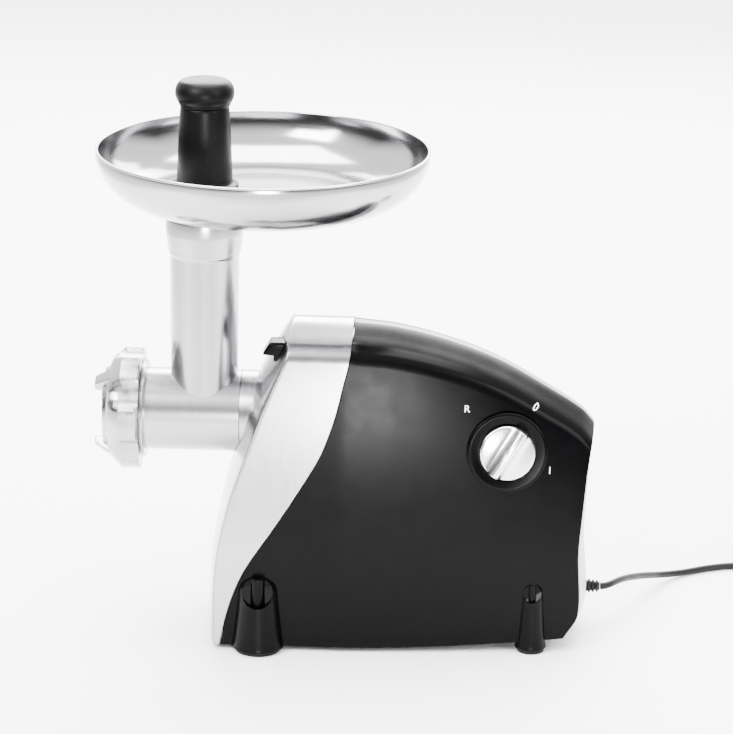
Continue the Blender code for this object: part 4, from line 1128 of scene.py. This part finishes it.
def make_plunger():
    """Hollow plunger with a collar that stops it on the tray, and the knob on its top."""
    foot = TRAY_FLOOR + SHEET + GAP
    plunger = turned("satin_plunger", rounded([
        (0.0, 0.3920), (0.0172, 0.3920), (0.0177, 0.3900), (0.0185, 0.3780), (0.0201, 0.3400),
        (0.0201, 0.3365), (0.0240, 0.3355), (0.0245, 0.3340), (0.0245, foot), (PLUNGER_R, foot),
        (PLUNGER_R, PLUNGER_END), (0.0180, PLUNGER_END), (0.0165, 0.3850), (0.0, 0.3850)], 0.0009),
        (TUBE_X, 0, 0))
    smooth(plunger)
    finished(plunger, "plunger", "plunger_black", "plunger")
    top = PLUNGER_TOP
    knob = turned("satin_plunger_knob", rounded([
        (0.0, top), (0.0120, top - 0.0003), (0.0180, top - 0.0018), (0.0206, top - 0.0058),
        (0.0214, top - 0.0100), (0.0208, top - 0.0140), (0.0186, top - 0.0176),
        (0.0181, 0.3920 + GAP), (0.0, 0.3920 + GAP)], 0.0030, 5), (TUBE_X, 0, 0))
    smooth(knob)
    finished(knob, "plunger", "plunger_black", "plunger_knob")


# ---------------------------------------------------------------- mains cord
def cord_points():
    """The route, the wound turns and the lead into the plug, as one line of points."""
    points = [Vector(p) for p in CORD_ROUTE]
    inner = COIL_TURN_R - 2 * COIL_STEP
    stages = (
        # turns, radius from and to, height from and to
        (2.0, COIL_TURN_R, inner, LAYER_Z, LAYER_Z),
        (0.4, inner, inner, LAYER_Z, LAYER_Z + LAYER_STEP),
        (2.0, inner, COIL_TURN_R, LAYER_Z + LAYER_STEP, LAYER_Z + LAYER_STEP),
        (0.4, COIL_TURN_R, COIL_TURN_R, LAYER_Z + LAYER_STEP, LAYER_Z + 2 * LAYER_STEP),
        (0.675, COIL_TURN_R, COIL_TURN_R, LAYER_Z + 2 * LAYER_STEP, LAYER_Z + 2 * LAYER_STEP),
        (0.290, COIL_TURN_R, 0.0374, LAYER_Z + 2 * LAYER_STEP, 0.0203),
    )
    angle = math.radians(-84.0)
    for turns, r0, r1, z0, z1 in stages:
        count = max(6, round(turns * 30))
        for k in range(count):
            s = k / count
            ease = s * s * (3 - 2 * s)
            radius = r0 + (r1 - r0) * s
            a = angle + math.tau * turns * s
            points.append(Vector((COIL_AT.x + radius * math.cos(a),
                                  COIL_AT.y + radius * math.sin(a), z0 + (z1 - z0) * ease)))
        angle += math.tau * turns
    return points + [Vector(p) for p in CORD_LEAD]


def catmull(p0, p1, p2, p3, s):
    return 0.5 * ((2 * p1) + (p2 - p0) * s + (2 * p0 - 5 * p1 + 4 * p2 - p3) * s * s
                  + (3 * p1 - p0 - 3 * p2 + p3) * s ** 3)


def smooth_line(points, cuts=4):
    line = []
    for i in range(len(points) - 1):
        before = points[max(i - 1, 0)]
        after = points[min(i + 2, len(points) - 1)]
        line += [catmull(before, points[i], points[i + 1], after, k / cuts) for k in range(cuts)]
    return line + [points[-1]]


def make_cord():
    cord = wire("wound_mains_cord", smooth_line(cord_points()), sizes().cord_diameter / 2)
    return finished(cord, "machine", "cord_black", "mains_cord", "cord_coil")


def make_relief():
    """Tapered strain relief: a collar in the wall and flexing ribs behind it."""
    z = middle("strain_relief").z
    near, far = low("strain_relief").x, high("strain_relief").x
    profile = [(0.0, near), (0.0085, near), (0.0085, near + 0.0027), (0.0060, near + 0.0030),
               (0.0060, near + 0.0046)]
    ribs = 5
    step = (far - near - 0.0056) / ribs
    for k in range(ribs):
        x = near + 0.0046 + step * k
        crest = 0.0061 - 0.0018 * (k + 0.5) / ribs
        root = crest - 0.0013
        profile += [(root, x + 0.0002), (root, x + step * 0.28), (crest, x + step * 0.40),
                    (crest - 0.0001, x + step * 0.88), (root, x + step)]
    profile += [(0.0034, far), (0.0, far)]
    relief = turned("ribbed_strain_relief", rounded(profile, 0.0003, 2), (0, 0, z), "X", 48)
    smooth(relief)
    return finished(relief, "machine", "cord_black", "strain_relief")


def make_plug():
    """Flat two-pin plug with finger grips, its boot and its two pins."""
    near, far = low("mains_plug"), high("mains_plug")
    centre = (near + far) / 2
    half_y, half_z = (far.y - near.y) / 2, (far.z - near.z) / 2
    width = curve_through((0.0, 0.30), (0.26, 0.38), (0.55, 0.80), (0.72, 0.97), (1.0, 1.0))
    thick = curve_through((0.0, 0.56), (0.30, 0.60), (0.65, 1.0), (1.0, 0.92))
    around, along = 40, 28

    def place(i, j):
        share = min(max((j - 1) / (along - 2), 0.0), 1.0)
        angle = math.tau * i / around
        pinch = 0.0 if j in (0, along) else 1.0
        c, s = math.cos(angle), math.sin(angle)
        y = math.copysign(abs(c) ** 0.55, c) * half_y * width(share) * pinch
        z = math.copysign(abs(s) ** 0.75, s) * half_z * thick(share) * pinch
        return Vector((near.x + (far.x - near.x) * share, centre.y + y, centre.z + z))

    plug = tidy(surface("moulded_plug", around, along, place))
    bevel(plug, 0.0008, 3, 45.0)
    for k in range(3):
        for side in (-1, 1):
            x = near.x + 0.011 + 0.0042 * k
            rib = box("grip", (x, centre.y - 0.008, centre.z + side * 0.0052),
                      (x + 0.0020, centre.y + 0.008, centre.z + side * 0.0100))
            cut(plug, rib)
    for node in PLUG_PINS:
        spot = middle(node)
        cut(plug, cylinder("pin_hole", PIN_R + GAP, low(node).x - 0.0005, far.x + 0.002,
                           (0, spot.y, spot.z), "X", 24))
    smooth(plug)
    finished(plug, "machine", "black_plastic", "mains_plug")
    pins = []
    for node in PLUG_PINS:
        root, tip, spot = low(node).x, high(node).x, middle(node)
        pin = turned("turned_" + node, rounded([
            (0.0, tip), (0.0008, tip), (PIN_R, tip - 0.0022), (PIN_R, root), (0.0, root)],
            0.0009), (0, spot.y, spot.z), "X", 32)
        smooth(pin)
        pins.append(finished(pin, "machine", "brass", node))
    return [plug] + pins


def make_tie():
    """Twisted tie round the turns of the coil."""
    angle = math.radians(35.0)
    out = Vector((math.cos(angle), math.sin(angle), 0.0))
    inner, outer = 0.0198, 0.0382
    bottom_z, top_z = 0.0003, LAYER_Z + 2 * LAYER_STEP + CORD_R + 0.0004
    ring = []
    for k in range(48):
        a = math.tau * k / 48
        c, s = math.cos(a), math.sin(a)
        radius = (inner + outer) / 2 + math.copysign(abs(c) ** 0.5, c) * (outer - inner) / 2
        z = (bottom_z + top_z) / 2 + math.copysign(abs(s) ** 0.5, s) * (top_z - bottom_z) / 2
        ring.append(Vector((COIL_AT.x, COIL_AT.y, 0)) + out * radius + Vector((0, 0, z)))
    side = Vector((-out.y, out.x, 0.0)) * 0.0022

    def place(i, j):
        return ring[i % 48] + side * (2.0 * j / 2 - 1.0)

    tie = face_out(surface("coil_tie", 48, 2, place), sum(ring, Vector()) / 48)
    smooth(walled(tie, 0.0003, 1.0))
    return finished(tie, "machine", "black_plastic")


def make_cord_set():
    cord = make_cord()
    relief = make_relief()
    ends = make_plug()
    tie = make_tie()


# ---------------------------------------------------------------- pieces kept from the frame
def dress_inner():
    """Every node still shown gets its finish."""
    finishes = {s["node"]: s["material_slot"] for s in frame["record"]["subparts"]}
    for name, node in frame["nodes"].items():
        if node.hide_render:
            continue
        node.data.materials.clear()
        node.data.materials.append(MATERIALS[finishes[name]])


# ---------------------------------------------------------------- studio
CAMERA_TURN = math.radians(2.0)
CAMERA_RISE = math.radians(17.65)
CAMERA_ROLL = math.radians(1.0)
CAMERA_REACH = 2.2
CAMERA_LENS = 147.93
TARGET = Vector((0.015, 0.0, 0.200))


def make_camera():
    start()
    bpy.ops.object.camera_add()
    camera = named("camera")
    away = Vector((math.sin(CAMERA_TURN) * math.cos(CAMERA_RISE),
                   -math.cos(CAMERA_TURN) * math.cos(CAMERA_RISE), math.sin(CAMERA_RISE)))
    right = Vector((math.cos(CAMERA_TURN), math.sin(CAMERA_TURN), 0.0))
    up = away.cross(right)
    turned_right = right * math.cos(CAMERA_ROLL) + up * math.sin(CAMERA_ROLL)
    turned_up = up * math.cos(CAMERA_ROLL) - right * math.sin(CAMERA_ROLL)
    spot = TARGET + away * CAMERA_REACH
    camera.matrix_world = Matrix((
        (turned_right.x, turned_up.x, away.x, spot.x),
        (turned_right.y, turned_up.y, away.y, spot.y),
        (turned_right.z, turned_up.z, away.z, spot.z),
        (0.0, 0.0, 0.0, 1.0)))
    camera.data.sensor_fit = "HORIZONTAL"
    camera.data.sensor_width = 36.0
    camera.data.lens = CAMERA_LENS
    camera.data.clip_start = 0.05
    camera.data.clip_end = 60.0
    bpy.context.scene.camera = camera


LIGHTS = (
    # name, place, size, power
    ("key_left", (-1.10, -1.30, 1.50), (1.0, 1.0), 110.0),
    ("fill_right", (1.60, -1.20, 1.20), (0.8, 1.4), 45.0),
    ("top", (0.0, 0.20, 1.90), (1.8, 1.2), 150.0),
    ("back", (0.10, 1.80, 1.10), (2.2, 1.0), 110.0),
    ("far", (0.0, 3.20, 2.40), (3.0, 1.6), 260.0),
    ("front", (0.22, -2.60, 0.19), (0.5, 0.30), 75.0),
)


DIM_WALL = 0.06
BRIGHT_WALL = 3.2


def make_surround():
    """White room, bright overhead and behind the machine, dim low down elsewhere."""
    world = bpy.data.worlds.new("studio")
    world.use_nodes = True
    tree = world.node_tree

    def node(kind, inputs=(), **values):
        made = tree.nodes.new(kind)
        for name, value in values.items():
            setattr(made, name, value)
        for name, value in inputs:
            made.inputs[name].default_value = value
        return made

    place = node("ShaderNodeTexCoord").outputs["Generated"]
    split = node("ShaderNodeSeparateXYZ")
    behind = node("ShaderNodeMath", [(1, 0.0)], operation="MAXIMUM")
    above = node("ShaderNodeMath", [(1, 0.0)], operation="MAXIMUM")
    total = node("ShaderNodeMath", operation="ADD")
    span = node("ShaderNodeMapRange", [("From Min", 0.20), ("From Max", 0.75),
                                       ("To Min", DIM_WALL), ("To Max", BRIGHT_WALL)],
                interpolation_type="SMOOTHSTEP")
    sky = tree.nodes["Background"]
    sky.inputs["Color"].default_value = (1.0, 1.0, 1.0, 1.0)
    for source, target in (
            (place, split.inputs[0]), (split.outputs["Y"], behind.inputs[0]),
            (split.outputs["Z"], above.inputs[0]), (behind.outputs[0], total.inputs[0]),
            (above.outputs[0], total.inputs[1]), (total.outputs[0], span.inputs["Value"]),
            (span.outputs["Result"], sky.inputs["Strength"])):
        tree.links.new(source, target)
    bpy.context.scene.world = world


def make_stage():
    start()
    bpy.ops.mesh.primitive_plane_add(size=12.0, location=(0, 0, 0))
    floor = named("studio_floor")
    made = Finish("floor_paper_and_painted_shade")
    tone = tuple(colours().floor)
    # painted shade: the floor before and beside the machine is painted at half tone, so that the housing and
    # metals reflect a dim surround
    made.colour(made.paper_and_painted_shade(), shade(tone, 0.50), tone, 0.0, 1.0)
    made.gloss(made.noise((40, 40, 40)), 0.75, 0.9)
    made.bump(made.noise((300, 300, 300)), 0.03, 0.0002)
    floor.data.materials.append(made.material)
    for name, spot, size, power in LIGHTS:
        start()
        bpy.ops.object.light_add(type="AREA", location=spot)
        light = named("light_" + name)
        light.data.shape = "RECTANGLE"
        light.data.size, light.data.size_y = size
        light.data.energy = power
        light.visible_camera = False
        aim = TARGET - Vector(spot)
        light.rotation_euler = aim.to_track_quat("-Z", "Y").to_euler()
    make_surround()
    make_camera()


# ---------------------------------------------------------------- operators
class MEATGRINDER_OT_stage(bpy.types.Operator):
    """Lay the floor, the lights, the world and the camera."""
    bl_idname = "meatgrinder.stage"
    bl_label = "Studio"

    def execute(self, context):
        make_stage()
        return {"FINISHED"}


class MEATGRINDER_OT_cord(bpy.types.Operator):
    """Lay the cord on its route and wind its coil, with relief, plug and tie."""
    bl_idname = "meatgrinder.cord"
    bl_label = "Mains cord"

    def execute(self, context):
        make_cord_set()
        return {"FINISHED"}


class MEATGRINDER_OT_front_cover(bpy.types.Operator):
    """Model the plated front cover and its corner beads."""
    bl_idname = "meatgrinder.front_cover"
    bl_label = "Front cover"

    def execute(self, context):
        make_front_cover()
        return {"FINISHED"}


class MEATGRINDER_OT_shells(bpy.types.Operator):
    """Model the two gloss shells of the housing."""
    bl_idname = "meatgrinder.shells"
    bl_label = "Housing shells"

    def execute(self, context):
        make_shells()
        return {"FINISHED"}


class MEATGRINDER_OT_spine(bpy.types.Operator):
    """Model the grey strip between the shells."""
    bl_idname = "meatgrinder.spine"
    bl_label = "Spine strip"

    def execute(self, context):
        make_spine()
        return {"FINISHED"}


class MEATGRINDER_OT_rear_panel(bpy.types.Operator):
    """Model the rear panel with its cooling slots."""
    bl_idname = "meatgrinder.rear_panel"
    bl_label = "Rear panel"

    def execute(self, context):
        make_rear_panel()
        return {"FINISHED"}


class MEATGRINDER_OT_feet(bpy.types.Operator):
    """Model the four feet and their rubber pads."""
    bl_idname = "meatgrinder.feet"
    bl_label = "Feet"

    def execute(self, context):
        make_feet()
        return {"FINISHED"}


class MEATGRINDER_OT_dial(bpy.types.Operator):
    """Model the dial's dish and its plated knob."""
    bl_idname = "meatgrinder.dial"
    bl_label = "Control dial"

    def execute(self, context):
        make_dial()
        return {"FINISHED"}


class MEATGRINDER_OT_marks(bpy.types.Operator):
    """Print the plain marks round the dial."""
    bl_idname = "meatgrinder.marks"
    bl_label = "Dial marks"

    def execute(self, context):
        make_marks()
        return {"FINISHED"}


class MEATGRINDER_OT_button(bpy.types.Operator):
    """Model the button that frees the head, and the latch spring behind it."""
    bl_idname = "meatgrinder.button"
    bl_label = "Release button"

    def execute(self, context):
        make_button()
        make_spring()
        return {"FINISHED"}


class MEATGRINDER_OT_socket(bpy.types.Operator):
    """Turn the ring that holds the head."""
    bl_idname = "meatgrinder.socket"
    bl_label = "Head socket"

    def execute(self, context):
        make_socket()
        return {"FINISHED"}


class MEATGRINDER_OT_head(bpy.types.Operator):
    """Cast the barrel and feed tube and bore them."""
    bl_idname = "meatgrinder.head"
    bl_label = "Grinding head"

    def execute(self, context):
        make_head()
        return {"FINISHED"}


class MEATGRINDER_OT_nut(bpy.types.Operator):
    """Model the fluted nut with its prongs."""
    bl_idname = "meatgrinder.nut"
    bl_label = "Ring nut"

    def execute(self, context):
        make_nut()
        return {"FINISHED"}


class MEATGRINDER_OT_plate(bpy.types.Operator):
    """Turn the plate and drill its holes."""
    bl_idname = "meatgrinder.plate"
    bl_label = "Grinding plate"

    def execute(self, context):
        make_plate()
        return {"FINISHED"}


class MEATGRINDER_OT_auger(bpy.types.Operator):
    """Loft the screw that drives the meat forward."""
    bl_idname = "meatgrinder.auger"
    bl_label = "Auger"

    def execute(self, context):
        make_auger()
        return {"FINISHED"}


class MEATGRINDER_OT_tray(bpy.types.Operator):
    """Spin the tray and fit its spout."""
    bl_idname = "meatgrinder.tray"
    bl_label = "Hopper tray"

    def execute(self, context):
        make_tray()
        return {"FINISHED"}


class MEATGRINDER_OT_plunger(bpy.types.Operator):
    """Turn the plunger and its knob."""
    bl_idname = "meatgrinder.plunger"
    bl_label = "Plunger"

    def execute(self, context):
        make_plunger()
        return {"FINISHED"}


class MEATGRINDER_OT_inner_parts(bpy.types.Operator):
    """Give the pieces kept from the frame their finishes."""
    bl_idname = "meatgrinder.inner_parts"
    bl_label = "Inner parts"

    def execute(self, context):
        dress_inner()
        return {"FINISHED"}


class MEATGRINDER_PT_pieces(bpy.types.Panel):
    """Sizes, colours and one button for each piece."""
    bl_idname = "MEATGRINDER_PT_pieces"
    bl_label = "Electric meat grinder"
    bl_space_type = "VIEW_3D"
    bl_region_type = "UI"
    bl_category = "Grinder"

    def draw(self, context):
        column = self.layout.column()
        for group in (context.scene.grinder_sizes, context.scene.grinder_colours):
            for name in group.bl_rna.properties.keys():
                if name not in {"rna_type", "name"}:
                    column.prop(group, name)
        for piece in PIECES:
            column.operator(piece.bl_idname)


PIECES = (
    MEATGRINDER_OT_stage,
    MEATGRINDER_OT_cord,
    MEATGRINDER_OT_front_cover,
    MEATGRINDER_OT_shells,
    MEATGRINDER_OT_spine,
    MEATGRINDER_OT_rear_panel,
    MEATGRINDER_OT_feet,
    MEATGRINDER_OT_dial,
    MEATGRINDER_OT_marks,
    MEATGRINDER_OT_button,
    MEATGRINDER_OT_socket,
    MEATGRINDER_OT_head,
    MEATGRINDER_OT_nut,
    MEATGRINDER_OT_plate,
    MEATGRINDER_OT_auger,
    MEATGRINDER_OT_tray,
    MEATGRINDER_OT_plunger,
    MEATGRINDER_OT_inner_parts,
)
CLASSES = (GrinderSizes, GrinderColours) + PIECES + (MEATGRINDER_PT_pieces,)


def register():
    for kind in CLASSES:
        bpy.utils.register_class(kind)
    bpy.types.Scene.grinder_sizes = PointerProperty(type=GrinderSizes)
    bpy.types.Scene.grinder_colours = PointerProperty(type=GrinderColours)


def unregister():
    del bpy.types.Scene.grinder_colours
    del bpy.types.Scene.grinder_sizes
    for kind in reversed(CLASSES):
        bpy.utils.unregister_class(kind)


def main():
    register()
    make_materials()
    for piece in PIECES:
        getattr(bpy.ops.meatgrinder, piece.bl_idname.split(".")[1])()


if __name__ == "__main__":
    main()
